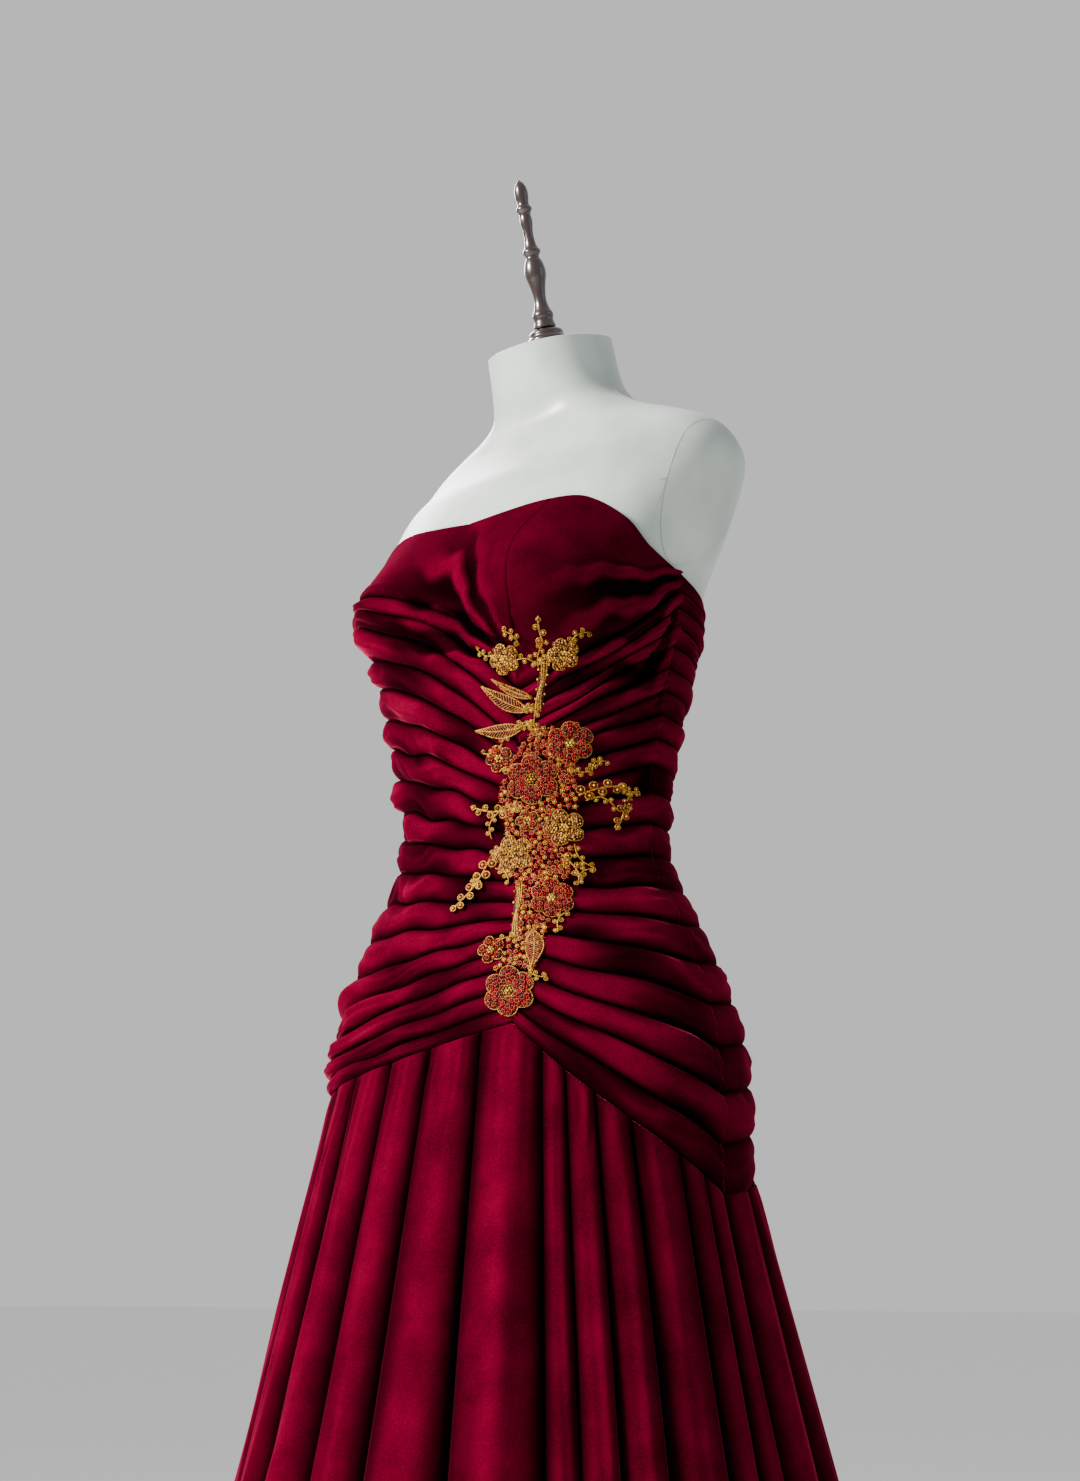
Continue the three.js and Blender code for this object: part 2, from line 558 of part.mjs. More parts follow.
// The whole form, before its arm caps are parted
function formBlank() {
  const rings = FORM_LEVELS.map((z) => {
    const ring = [];
    for (let j = 0; j < COLUMNS_ROUND_FORM; j += 1) {
      const angle = (360 * j) / COLUMNS_ROUND_FORM;
      ring.push(onFigure(angle, z, formInset(angle, z)));
    }
    return ring;
  });
  return loft("form_blank", rings, FINISHES.form);
}

const wasm = await Module();
wasm.setup();

function toManifold(mesh) {
  const { geometry } = mesh;
  return new wasm.Manifold(new wasm.Mesh({
    numProp: 3,
    vertProperties: new Float32Array(geometry.attributes.position.array),
    triVerts: new Uint32Array(geometry.index.array),
  }));
}

function fromManifold(name, body, material) {
  const cut = body.getMesh();
  const geometry = new THREE.BufferGeometry();
  geometry.setAttribute("position", new THREE.BufferAttribute(new Float32Array(cut.vertProperties), 3));
  geometry.setIndex([...cut.triVerts]);
  geometry.computeVertexNormals();
  const mesh = new THREE.Mesh(geometry, material);
  mesh.name = name;
  return mesh;
}

// Parts the arm caps from the torso along two leaning planes, turned with the shoulders
function formPieces() {
  const blank = toManifold(formBlank());
  let torso = blank;
  const caps = [];
  const shoulder = FIGURE_ROWS.find((row) => row.z === SHOULDER_HEIGHT);
  const turn = -radians(shoulder.turn);
  for (const side of [1, -1]) {
    const lean = radians(ARM_PLANE.lean);
    const across = new THREE.Vector3(side * Math.cos(lean), 0, -Math.sin(lean));
    across.applyAxisAngle(new THREE.Vector3(0, 0, 1), turn);
    const reach = across.dot(placed(side * 90, ARM_PLANE.x, shoulder.z));
    const beyond = (gap) => {
      const outer = blank.trimByPlane(across.toArray(), reach + gap);
      return outer.trimByPlane([0, 0, 1], ARM_PLANE.foot + gap);
    };
    torso = torso.subtract(beyond(0));
    caps.push(fromManifold(side > 0 ? "arm_cap_left" : "arm_cap_right", beyond(SEAM_GAP), FINISHES.form));
  }
  return [fromManifold("form_torso", torso, FINISHES.form), ...caps];
}

// Point on the spray's underside: millimetres across and up from a motif's own place
function sprayPoint(motif, across, up, out) {
  const z = motif.z + up;
  const radius = figureRadius(motif.angle, motif.z);
  const angle = motif.angle + THREE.MathUtils.radToDeg(across / radius);
  const folded = 1 - THREE.MathUtils.smoothstep(z, PLAIN_CUP.from, PLAIN_CUP.to);
  const crest = mix(FRONT_CREST, SIDE_CREST, awayFromSpray(angle)) * pressed(angle) * folded;
  const ground = bodiceEase(angle, z) + CLOTH + crest + MOTIF_CLEARANCE;
  return onFigure(angle, z, ground + out);
}

// Rings of a motif from its underside round the edge to its raised middle
function motifSolid(motif, outline, spine, material) {
  const ring = (share, out) => outline.map((p, k) => {
    const core = spine[k];
    return sprayPoint(motif, mix(core.x, p.x, share), mix(core.y, p.y, share), out);
  });
  const raised = MOTIF_BASE + MOTIF_BEADING;
  return loft(
    motif.name,
    [ring(MOTIF.core, 0), ring(1, 0), ring(1, MOTIF_BASE), ring(MOTIF.core, raised)],
    material,
  );
}

// A blossom: a scalloped outline round one middle
function flower(motif, material) {
  const steps = motif.petals * 2;
  const outline = [];
  for (let k = 0; k < steps; k += 1) {
    const around = (2 * Math.PI * k) / steps;
    const reach = motif.radius * (k % 2 === 0 ? MOTIF.notch : 1);
    outline.push(new THREE.Vector2(reach * Math.cos(around), reach * Math.sin(around)));
  }
  return motifSolid(motif, outline, outline.map(() => new THREE.Vector2()), material);
}

// A leaf: a pointed outline on both sides of a straight vein
function leaf(motif, material) {
  const heading = radians(motif.heading);
  const along = new THREE.Vector2(Math.cos(heading), Math.sin(heading));
  const aside = new THREE.Vector2(-along.y, along.x);
  const vein = (share) => along.clone().multiplyScalar(share * motif.length);
  const breadth = (share) => (motif.width / 2) * mix(MOTIF.tip, 1, Math.sin(Math.PI * share));
  const place = (share, side) => vein(share).addScaledVector(aside, side * breadth(share));
  const side = (sign) => LEAF_STATIONS.map((share) => ({
    edge: place(share, sign),
    core: vein(mix(VEIN.from, VEIN.to, share)),
  }));
  const all = [...side(-1), ...side(1).reverse()];
  return motifSolid(motif, all.map((p) => p.edge), all.map((p) => p.core), material);
}

// A turned piece given by its radii and heights, closed on the axis
function turned(name, profile, segments, material) {
  const points = profile.map(([radius, z]) => new THREE.Vector2(radius, z));
  const geometry = new THREE.LatheGeometry(points, segments);
  geometry.rotateX(Math.PI / 2);
  const mesh = new THREE.Mesh(geometry, material);
  mesh.name = name;
  return mesh;
}

// Base, pole and plate under the form
function stand() {
  const base = turned("stand_base", BASE_PROFILE, BASE_SEGMENTS, FINISHES.enamel);
  const poleFoot = BASE_TOP + SEAM_GAP;
  const plateTop = FIGURE_ROWS[0].z - SEAM_GAP;
  const plateFoot = plateTop - FORM_PLATE.thickness;
  const poleTop = plateFoot - SEAM_GAP;
  const pole = turned("stand_pole", [
    [0, poleFoot],
    [POLE_RADIUS, poleFoot],
    [POLE_RADIUS, poleTop],
    [0, poleTop],
  ], POLE_SEGMENTS, FINISHES.steel);
  const plate = turned("form_plate", [
    [0, plateFoot],
    [FORM_PLATE.foot, plateFoot],
    [FORM_PLATE.radius, plateFoot + FORM_PLATE.slope],
    [FORM_PLATE.radius, plateTop],
    [0, plateTop],
  ], FORM_PLATE.segments, FINISHES.wood);
  return [base, pole, plate];
}

// Turned finial on the neck, leaning with it
function finial() {
  const neck = FIGURE_ROWS[FIGURE_ROWS.length - 1];
  const foot = turned("finial_foot", FINIAL_FOOT, FINIAL_SEGMENTS, FINISHES.wood);
  foot.position.z = FINIAL_SEAT;
  const spindle = turned("finial_spindle", FINIAL_SPINDLE, SPINDLE_SEGMENTS, FINISHES.wood);
  spindle.position.z = FINIAL_SEAT + FINIAL_FOOT_HEIGHT + SEAM_GAP;
  const group = new THREE.Group();
  group.add(foot, spindle);
  const turn = -radians(neck.turn);
  group.position.set(-neck.set * Math.sin(turn), neck.set * Math.cos(turn), neck.z);
  group.rotation.order = "ZYX";
  group.rotation.set(radians(neck.tilt), 0, turn);
  return group;
}

// The closed zip between the two back panels
function zipStrip() {
  const top = necklineHeight(BACK_ANGLE) - ZIP.below;
  const foot = BACK_DROP_HEIGHT + ZIP.above;
  return wall("zip_strip", ZIP.levels, 2, (i, j, face) => {
    const z = mix(top, foot, i / (ZIP.levels - 1));
    const across = (j === 0 ? 1 : -1) * (ZIP.width / 2);
    const angle = BACK_ANGLE + gapAngle(across, figureRadius(BACK_ANGLE, z));
    const out = bodiceEase(angle, z) + ZIP.stand;
    return onFigure(angle, z, face === "outer" ? out + ZIP.thickness : out);
  }, FINISHES.zip);
}

// A box as an indexed solid, from its size and centre
function block(width, depth, height, centre) {
  const points = [];
  for (const z of [-0.5, 0.5]) {
    for (const [x, y] of [[-0.5, -0.5], [0.5, -0.5], [0.5, 0.5], [-0.5, 0.5]]) {
      points.push(new THREE.Vector3(x * width, y * depth, z * height).add(centre));
    }
  }
  const quads = [[0, 3, 2, 1], [4, 5, 6, 7], [0, 1, 5, 4], [1, 2, 6, 5], [2, 3, 7, 6], [3, 0, 4, 7]];
  const triangles = quads.flatMap(([a, b, c, d]) => [[a, b, c], [a, c, d]]);
  return toManifold(solid("block", points, triangles, FINISHES.steel));
}

// A round rod along X, centred on a point
function rod(radius, length, sides, centre) {
  const rings = [-0.5, 0.5].map((end) => {
    const ring = [];
    for (let k = 0; k < sides; k += 1) {
      const around = (2 * Math.PI * k) / sides;
      const point = new THREE.Vector3(end * length, radius * Math.cos(around), radius * Math.sin(around));
      ring.push(point.add(centre));
    }
    return ring;
  });
  return toManifold(loft("rod", rings, FINISHES.steel));
}

// The slider body with two lugs and a pin, and the pull tab that hangs on the pin
function slider() {
  const z = necklineHeight(BACK_ANGLE) - SLIDER.top;
  const body = block(SLIDER.width, SLIDER.depth, SLIDER.height, new THREE.Vector3(0, 0, 0));
  const pivot = new THREE.Vector3(0, SLIDER.depth / 2 + PIVOT.stand, 0);
  const lugGap = PULL.width / 2 + SEAM_GAP;
  let carrier = body;
  for (const side of [1, -1]) {
    const centre = new THREE.Vector3(side * (lugGap + LUG.width / 2), SLIDER.depth / 2 + PIVOT.stand / 2, 0);
    carrier = carrier.add(block(LUG.width, PIVOT.stand + 2 * PIVOT.radius, LUG.height, centre));
  }
  carrier = carrier.add(rod(PIVOT.radius, 2 * (lugGap + LUG.width * LUG.bite), PIN_SIDES, pivot));
  const shank = new THREE.Vector3(0, pivot.y, -(PULL.length / 2 + PULL.below));
  let tab = block(PULL.width, PULL.thickness, PULL.length, shank);
  tab = tab.add(rod(PIVOT.ring, PULL.width, EYE_SIDES, pivot));
  tab = tab.subtract(rod(PIVOT.eye, 2 * PULL.width, EYE_SIDES, pivot));
  const group = new THREE.Group();
  group.add(fromManifold("zip_slider", carrier, FINISHES.steel));
  group.add(fromManifold("zip_pull", tab, FINISHES.steel));
  const seat = bodiceEase(BACK_ANGLE, z) + CLOTH + SEAM_GAP + SLIDER.depth / 2 + SLIDER.stand;
  group.position.copy(onFigure(BACK_ANGLE, z, seat));
  group.rotation.z = -radians(curveAt(FIGURE_ROWS, "z", "turn", z));
  return group;
}

const dress = new THREE.Group();
dress.add(frontPanel("front_right_ruched", -1, RIGHT_FOLDS, FRONT_SPANS.right));
dress.add(frontPanel("front_left_ruched", 1, LEFT_FOLDS, FRONT_SPANS.left));
dress.add(backPanel("back_right_ruched", -1, RIGHT_FOLDS, BACK_SPANS));
dress.add(backPanel("back_left_ruched", 1, LEFT_FOLDS, BACK_SPANS));
dress.add(skirtGore("skirt_front", -SEAM_ANGLE, SEAM_ANGLE));
dress.add(skirtGore("skirt_back_left", SEAM_ANGLE, BACK_ANGLE));
dress.add(skirtGore("skirt_back_right", BACK_ANGLE, 360 - SEAM_ANGLE));
dress.add(zipStrip());
dress.add(slider());
FLOWERS.forEach((motif) => dress.add(flower(motif, FINISHES.beads)));
LEAVES.forEach((motif) => dress.add(leaf(motif, FINISHES.gold)));
dress.add(...formPieces());
dress.add(...stand());
dress.add(finial());

export default dress;
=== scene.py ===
"""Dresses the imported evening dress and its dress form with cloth, beads, wood and light.

The tables of the figure and of the folds are those of the CAD part, in millimetres and degrees.
Angles grow from the centre front towards the wearer's left; the front faces -Y and +Z is up.
"""

from __future__ import annotations

import logging
import math
from dataclasses import dataclass, field
from enum import Enum, IntEnum

import bmesh
import bpy
import numpy as np
from mathutils import Euler, Matrix, Vector

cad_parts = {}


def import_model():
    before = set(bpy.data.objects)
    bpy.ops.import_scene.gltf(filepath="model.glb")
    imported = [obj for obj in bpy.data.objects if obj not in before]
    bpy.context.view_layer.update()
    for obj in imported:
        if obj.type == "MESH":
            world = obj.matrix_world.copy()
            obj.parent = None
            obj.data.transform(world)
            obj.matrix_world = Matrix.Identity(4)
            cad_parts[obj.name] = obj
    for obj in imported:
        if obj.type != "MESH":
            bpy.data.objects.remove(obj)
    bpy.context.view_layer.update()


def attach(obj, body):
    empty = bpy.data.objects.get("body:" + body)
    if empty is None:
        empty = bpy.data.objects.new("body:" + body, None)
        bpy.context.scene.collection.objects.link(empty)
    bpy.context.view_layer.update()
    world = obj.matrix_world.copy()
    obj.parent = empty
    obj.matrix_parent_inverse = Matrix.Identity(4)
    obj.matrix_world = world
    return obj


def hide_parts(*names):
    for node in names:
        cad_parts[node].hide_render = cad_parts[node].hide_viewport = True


LOG = logging.getLogger("evening_dress")
MM = 0.001
Array = np.ndarray

SEAM_GAP = 0.3
CLOTH = 2.0
SKIRT_CLOTH = 2.6
SEAM_ANGLE = 86.0
BACK_ANGLE = 180.0
GATHER_ANGLE = 26.0
HEM_HEIGHT = 12.0
GAP_RADIUS = 120.0  # usual distance of a seam from the axis


# Arrays and meshes


def mix(a: Array | float, b: Array | float, share: Array | float) -> Array:
    """Straight blend from a to b."""
    return a + (b - a) * share


def smoothstep(x: Array, low: float, high: float) -> Array:
    """Smooth step from 0 at low to 1 at high."""
    t = np.clip((x - low) / (high - low), 0.0, 1.0)
    return t * t * (3.0 - 2.0 * t)


def hermite(rows: Array, x: Array | float) -> Array:
    """Smooth curve through the rows (x, y), with slopes taken from each row's neighbours.

    Args:
        rows: Table with the known places in its first column and their values in its second.
        x: Places to read, held inside the table's range.

    Returns:
        The value at each place.
    """
    xs, ys = rows[:, 0], rows[:, 1]
    last = len(xs) - 1
    lower = np.maximum(np.arange(last + 1) - 1, 0)
    upper = np.minimum(np.arange(last + 1) + 1, last)
    slopes = (ys[upper] - ys[lower]) / (xs[upper] - xs[lower])
    at = np.clip(x, xs[0], xs[-1])
    k = np.searchsorted(xs[1:-1], at, side="left")
    span = xs[k + 1] - xs[k]
    t = (at - xs[k]) / span
    start = ys[k] * (1 + 2 * t) * (1 - t) ** 2 + slopes[k] * span * t * (1 - t) ** 2
    end = ys[k + 1] * t * t * (3 - 2 * t) + slopes[k + 1] * span * t * t * (t - 1)
    return start + end


def soft_noise(seed: int, u: Array, v: Array, size_u: float, size_v: float) -> Array:
    """Smooth seeded unevenness of about -1 to 1: a sum of slanted sine waves.

    Args:
        seed: Seed of the waves' slants and phases.
        u: First place.
        v: Second place.
        size_u: Usual wavelength along u.
        size_v: Usual wavelength along v.

    Returns:
        The unevenness at each place.
    """
    waves = 7
    rng = np.random.default_rng(seed)
    total = np.zeros(np.broadcast(u, v).shape)
    for _ in range(waves):
        pace_u, pace_v = rng.uniform(-1.3, 1.3, 2)
        phase = rng.uniform(0.0, 2.0 * math.pi)
        total = total + np.sin(2.0 * math.pi * (pace_u * u / size_u + pace_v * v / size_v) + phase)
    return total / (0.6 * waves)


def turns(count: int, shift: Array | float = 0.0) -> Array:
    """Angles of equal steps round a circle, the first moved by a share of a step."""
    return 2.0 * math.pi * (np.arange(count) + shift) / count


def alternate(count: int) -> Array:
    """Plus and minus one by turns."""
    return np.where(np.arange(count) % 2 == 0, 1.0, -1.0)


def gap_angle(gap: float, radius: Array | float = GAP_RADIUS) -> Array | float:
    """Turns a gap in millimetres into degrees at a distance from the axis."""
    return np.degrees(gap / radius)


@dataclass
class Shape:
    """Points in millimetres with faces and the material place of each face."""

    points: Array
    faces: list[Array]
    places: list[Array]
    # crest: 0 to 1 for each point; the velvet paints light on fold crests and shade in fold valleys by it
    crest: Array | None = None
    uv: Array | None = None

    @staticmethod
    def of(points: Array, faces: list[Array], place: int = 0, crest: Array | None = None,
           uv: Array | None = None) -> Shape:
        """Makes a shape that has one material place throughout."""
        places = [np.full(len(block), place, dtype=np.int32) for block in faces]
        return Shape(points.reshape(-1, 3), faces, places, crest, uv)

    @staticmethod
    def merge(shapes: list[Shape]) -> Shape:
        """Joins shapes into one without welding their points.

        Args:
            shapes: The shapes.

        Returns:
            One shape with all their points, faces and places.
        """
        offset = 0
        faces: list[Array] = []
        places: list[Array] = []
        for shape in shapes:
            faces.extend(block + offset for block in shape.faces)
            places.extend(shape.places)
            offset += len(shape.points)
        crest = [s.crest if s.crest is not None else np.zeros(len(s.points)) for s in shapes]
        uv = [s.uv if s.uv is not None else np.zeros((len(s.points), 2)) for s in shapes]
        points = np.concatenate([s.points for s in shapes])
        return Shape(points, faces, places, np.concatenate(crest), np.concatenate(uv))

    def facing_out(self) -> Shape:
        """Turns every face round if the closed shape's volume comes out negative.

        The volume is the sum over triangles of a corner times the cross product of the others.

        Returns:
            The same shape.
        """
        volume = 0.0
        for block in self.faces:
            for k in range(1, block.shape[1] - 1):
                a, b, c = (self.points[block[:, n]] for n in (0, k, k + 1))
                volume += float(np.einsum("ij,ij->i", a, np.cross(b, c)).sum())
        if volume < 0.0:
            self.faces = [block[:, ::-1] for block in self.faces]
        return self

    def moved(self, matrix: Matrix) -> Shape:
        """Takes the points through a matrix.

        Args:
            matrix: A 4 by 4 matrix in millimetres.

        Returns:
            The same shape.
        """
        m = np.array(matrix)
        self.points = self.points @ m[:3, :3].T + m[:3, 3]
        return self

    def build(self, name: str, materials: list[bpy.types.Material],
              sharp_degrees: float | None = None) -> bpy.types.Object:
        """Makes the Blender object, in metres, smooth but for edges sharper than an angle.

        Args:
            name: Name of the object.
            materials: Materials in the order of the places.
            sharp_degrees: Edges that turn by more than this stay sharp; none if left out.

        Returns:
            The object, linked to the scene.
        """
        mesh = bpy.data.meshes.new(name)
        sizes = np.concatenate([np.full(len(b), b.shape[1]) for b in self.faces])
        loops = np.concatenate([b.ravel() for b in self.faces]).astype(np.int32)
        mesh.vertices.add(len(self.points))
        mesh.vertices.foreach_set("co", (self.points * MM).astype(np.float32).ravel())
        mesh.loops.add(len(loops))
        mesh.loops.foreach_set("vertex_index", loops)
        mesh.polygons.add(len(sizes))
        starts = np.concatenate([[0], np.cumsum(sizes)[:-1]]).astype(np.int32)
        mesh.polygons.foreach_set("loop_start", starts)
        mesh.polygons.foreach_set("material_index", np.concatenate(self.places))
        mesh.update(calc_edges=True)
        # the crest attribute carries the painted light and painted shade of the folds to the velvet
        if self.crest is not None:
            layer = mesh.attributes.new("crest", "FLOAT", "POINT")
            layer.data.foreach_set("value", self.crest.astype(np.float32).ravel())
        if self.uv is not None:
            layer = mesh.uv_layers.new(name="cloth_mm")
            layer.data.foreach_set("uv", self.uv[loops].astype(np.float32).ravel())
        for material in materials:
            mesh.materials.append(material)
        mesh.shade_smooth()
        if sharp_degrees is not None:
            mesh.set_sharp_from_angle(angle=math.radians(sharp_degrees))
        piece = bpy.data.objects.new(name, mesh)
        bpy.context.collection.objects.link(piece)
        return piece


def grid_faces(rows: int, columns: int, closed: bool = False) -> Array:
    """Quads of a grid of points.

    Args:
        rows: Rows of points.
        columns: Points in a row.
        closed: Whether the last column is joined to the first.

    Returns:
        Four point numbers for each quad.
    """
    i, j = np.meshgrid(np.arange(rows - 1), np.arange(columns if closed else columns - 1), indexing="ij")
    after = (j + 1) % columns
    corners = [i * columns + j, i * columns + after, (i + 1) * columns + after, (i + 1) * columns + j]
    return np.stack(corners, axis=-1).reshape(-1, 4)


def cloth_shell(outer: Array, inner: Array, crest: Array, roll: float) -> Shape:
    """A sheet with two faces and a rolled edge all round.

    Args:
        outer: Points of the outer face, rows by columns.
        inner: Points of the inner face, in the same order.
        crest: How high each outer point stands in its fold, 0 to 1; the velvet paints light on crests and
            shade in valleys by it.
        roll: How far the edge bulges past the sheet, in millimetres.

    Returns:
        The closed shape, with a UV in millimetres along the cloth.
    """
    rows, columns = outer.shape[:2]
    count = rows * columns
    top = np.arange(columns)
    right = np.arange(1, rows) * columns + columns - 1
    foot = (rows - 1) * columns + np.arange(columns - 2, -1, -1)
    left = np.arange(rows - 2, 0, -1) * columns
    border = np.concatenate([top, right, foot, left])
    row, column = border // columns, border % columns
    inward = np.clip(row, 1, rows - 2) * columns + np.clip(column, 1, columns - 2)
    flat_outer, flat_inner = outer.reshape(-1, 3), inner.reshape(-1, 3)
    away = flat_outer[border] - flat_outer[inward]
    away /= np.linalg.norm(away, axis=1, keepdims=True) + 1e-9
    middle = (flat_outer[border] + flat_inner[border]) / 2 + away * roll
    after = np.roll(np.arange(len(border)), -1)
    edge = 2 * count + np.arange(len(border))
    face = grid_faces(rows, columns)
    first = np.stack([border[after], border, edge, edge[after]], axis=1)
    second = np.stack([edge[after], edge, border + count, border[after] + count], axis=1)
    across = np.linalg.norm(np.diff(outer, axis=1), axis=2)
    down = np.linalg.norm(np.diff(outer, axis=0), axis=2)
    u = np.concatenate([np.zeros((rows, 1)), np.cumsum(across, axis=1)], axis=1)
    v = np.concatenate([np.zeros((1, columns)), np.cumsum(down, axis=0)], axis=0)
    uv = np.stack([u.ravel(), v.ravel()], axis=1)
    fold_light_share = crest.ravel()
    points = np.concatenate([flat_outer, flat_inner, middle])
    return Shape.of(
        points,
        [face, face[:, ::-1] + count, first, second],
        crest=np.concatenate([fold_light_share, fold_light_share, fold_light_share[border]]),
        uv=np.concatenate([uv, uv, uv[border]]),
    ).facing_out()


def lathe(profile: Array, segments: int, place: int = 0) -> Shape:
    """A turned solid: each radius times the cosine and sine of the turn, at its height.

    Args:
        profile: Radii and heights, which begin and end on the axis.
        segments: Steps round the axis.
        place: Material place.

    Returns:
        The closed solid.
    """
    around = turns(segments)
    ring = profile[1:-1]
    x = ring[:, :1] * np.cos(around)
    y = ring[:, :1] * np.sin(around)
    z = np.broadcast_to(ring[:, 1:], x.shape)
    body = np.stack([x, y, z], axis=-1).reshape(-1, 3)
    ends = np.array([[0.0, 0.0, profile[0, 1]], [0.0, 0.0, profile[-1, 1]]])
    count = len(body)
    j = np.arange(segments)
    after = (j + 1) % segments
    last = count - segments
    foot = np.stack([np.full(segments, count), after, j], axis=1)
    head = np.stack([np.full(segments, count + 1), last + j, last + after], axis=1)
    faces = [grid_faces(len(ring), segments, closed=True), foot, head]
    return Shape.of(np.concatenate([body, ends]), faces, place).facing_out()


def softened(profile: tuple[tuple[float, float], ...], times: int) -> Array:
    """Cuts a profile's corners round: each line gives way to its points at 1/4 and 3/4.

    Args:
        profile: Radii and heights.
        times: How often the corners are cut.

    Returns:
        The profile, with its two ends kept.
    """
    line = np.array(profile, dtype=float)
    for _ in range(times):
        quarter = mix(line[:-1], line[1:], 0.25)
        far = mix(line[:-1], line[1:], 0.75)
        cut = np.stack([quarter, far], axis=1).reshape(-1, 2)
        line = np.concatenate([line[:1], cut, line[-1:]])
    return line


def spheres(centres: Array, radii: Array | float, place: int) -> Shape:
    """Small round beads of few faces: latitude circles of a unit ball, scaled and moved.

    Args:
        centres: Middle of each bead.
        radii: One radius for all or one for each.
        place: Material place.

    Returns:
        The beads as one shape.
    """
    sides, rings = 7, 4
    lift = math.pi * np.arange(1, rings) / rings
    around = turns(sides)
    x = np.sin(lift)[:, None] * np.cos(around)
    y = np.sin(lift)[:, None] * np.sin(around)
    z = np.broadcast_to(np.cos(lift)[:, None], x.shape)
    ball = np.concatenate([np.stack([x, y, z], axis=-1).reshape(-1, 3), [[0, 0, 1], [0, 0, -1]]])
    count = len(ball)
    j = np.arange(sides)
    after = (j + 1) % sides
    last = (rings - 2) * sides
    quads = grid_faces(rings - 1, sides, closed=True)[:, ::-1]
    head = np.stack([np.full(sides, count - 2), j, after], axis=1)
    foot = np.stack([np.full(sides, count - 1), last + after, last + j], axis=1)
    centres = centres.reshape(-1, 3)
    size = np.broadcast_to(np.asarray(radii, dtype=float), (len(centres),))
    points = centres[:, None, :] + size[:, None, None] * ball[None]
    shift = (np.arange(len(centres)) * count)[:, None, None]
    faces = [(block[None] + shift).reshape(-1, block.shape[1]) for block in (quads, head, foot)]
    return Shape.of(points.reshape(-1, 3), faces, place)


def tubes(paths: Array, normals: Array, radius: Array | float, place: int, closed: bool) -> Shape:
    """Round cords along several paths of equal count.

    A point of the skin is the path's, plus the radius times the cosine and sine of the turn
    along two directions across the path.

    Args:
        paths: Points of each path, paths by points by 3.
        normals: A direction across each path at each point.
        radius: Radius of the cord, one for all or one for each point.
        place: Material place of the cords.
        closed: Whether each path runs back to its start.

    Returns:
        The cords as one shape, with flat ends on open ones.
    """
    sides = 6
    many, steps = paths.shape[:2]
    if closed:
        ahead = np.roll(paths, -1, axis=1) - np.roll(paths, 1, axis=1)
    else:
        ahead = np.gradient(paths, axis=1)
    aside = np.cross(ahead, normals)
    aside /= np.linalg.norm(aside, axis=2, keepdims=True) + 1e-12
    up = np.cross(aside, ahead)
    up /= np.linalg.norm(up, axis=2, keepdims=True) + 1e-12
    around = turns(sides)
    size = np.broadcast_to(np.asarray(radius, dtype=float), (many, steps))[..., None, None]
    turn = np.cos(around)[:, None] * up[:, :, None, :] + np.sin(around)[:, None] * aside[:, :, None, :]
    points = paths[:, :, None, :] + size * turn
    i, j = np.meshgrid(np.arange(steps if closed else steps - 1), np.arange(sides), indexing="ij")
    next_i, next_j = (i + 1) % steps, (j + 1) % sides
    one = np.stack([i * sides + j, next_i * sides + j, next_i * sides + next_j, i * sides + next_j], axis=-1)
    shift = (np.arange(many) * steps * sides)[:, None, None]
    faces = [(one.reshape(1, -1, 4) + shift).reshape(-1, 4)]
    if not closed:
        ends = np.stack([np.arange(sides), (steps - 1) * sides + np.arange(sides)[::-1]])
        faces.append((ends[None] + shift).reshape(-1, sides))
    return Shape.of(points.reshape(-1, 3), faces, place)


def rounded_box(size: tuple[float, float, float], centre: tuple[float, float, float], bevel: float,
                place: int = 0) -> Shape:
    """A box with rounded edges.

    Args:
        size: Its three sizes.
        centre: Its middle.
        bevel: Width that the rounding takes.
        place: Material place.

    Returns:
        The closed box.
    """
    body = bmesh.new()
    bmesh.ops.create_cube(body, size=1.0)
    bmesh.ops.transform(body, matrix=Matrix.Diagonal((*size, 1.0)), verts=body.verts)
    bmesh.ops.bevel(body, geom=body.edges[:], offset=bevel, segments=3, profile=0.5, affect="EDGES")
    body.verts.index_update()
    points = np.array([v.co[:] for v in body.verts]) + centre
    blocks: dict[int, list[list[int]]] = {}
    for face in body.faces:
        blocks.setdefault(len(face.verts), []).append([v.index for v in face.verts])
    body.free()
    return Shape.of(points, [np.array(block) for block in blocks.values()], place)


# Finishes

NOISE = "ShaderNodeTexNoise"
RANGE = "ShaderNodeMapRange"
ARITHMETIC = "ShaderNodeMath"
SURFACE = "ShaderNodeBsdfPrincipled"
OUTPUT = "ShaderNodeOutputMaterial"
DARK_INPUT, LIGHT_INPUT, COLOUR_OUTPUT = 6, 7, 2  # the colour sockets of a Mix node
Settings = dict[str | int, object]


def linear(code: str) -> tuple[float, float, float, float]:
    """Turns an sRGB hex colour into linear light.

    Args:
        code: The colour as a hash and six hex digits.

    Returns:
        Red, green, blue and alpha.
    """
    channels = [int(code[k:k + 2], 16) / 255.0 for k in (1, 3, 5)]
    bright = [c / 12.92 if c <= 0.04045 else ((c + 0.055) / 1.055) ** 2.4 for c in channels]
    return (*bright, 1.0)


def per_metre(size_mm: float) -> float:
    """Scale of a noise whose spots are that many millimetres across."""
    return 1.0 / (size_mm * MM)


def held(low: float, high: float, to_low: float = 0.0, to_high: float = 1.0) -> Settings:
    """Settings of a range that is stretched to another and held at both ends."""
    return {"From Min": low, "From Max": high, "To Min": to_low, "To Max": to_high}


def colours(dark: str, light: str) -> Settings:
    """Settings of a blend between two hex colours."""
    return {"data_type": "RGBA", DARK_INPUT: linear(dark), LIGHT_INPUT: linear(light)}


def relief(depth_mm: float) -> Settings:
    """Settings of a bump that spans that many millimetres."""
    return {"Strength": 1.0, "Distance": depth_mm * MM}


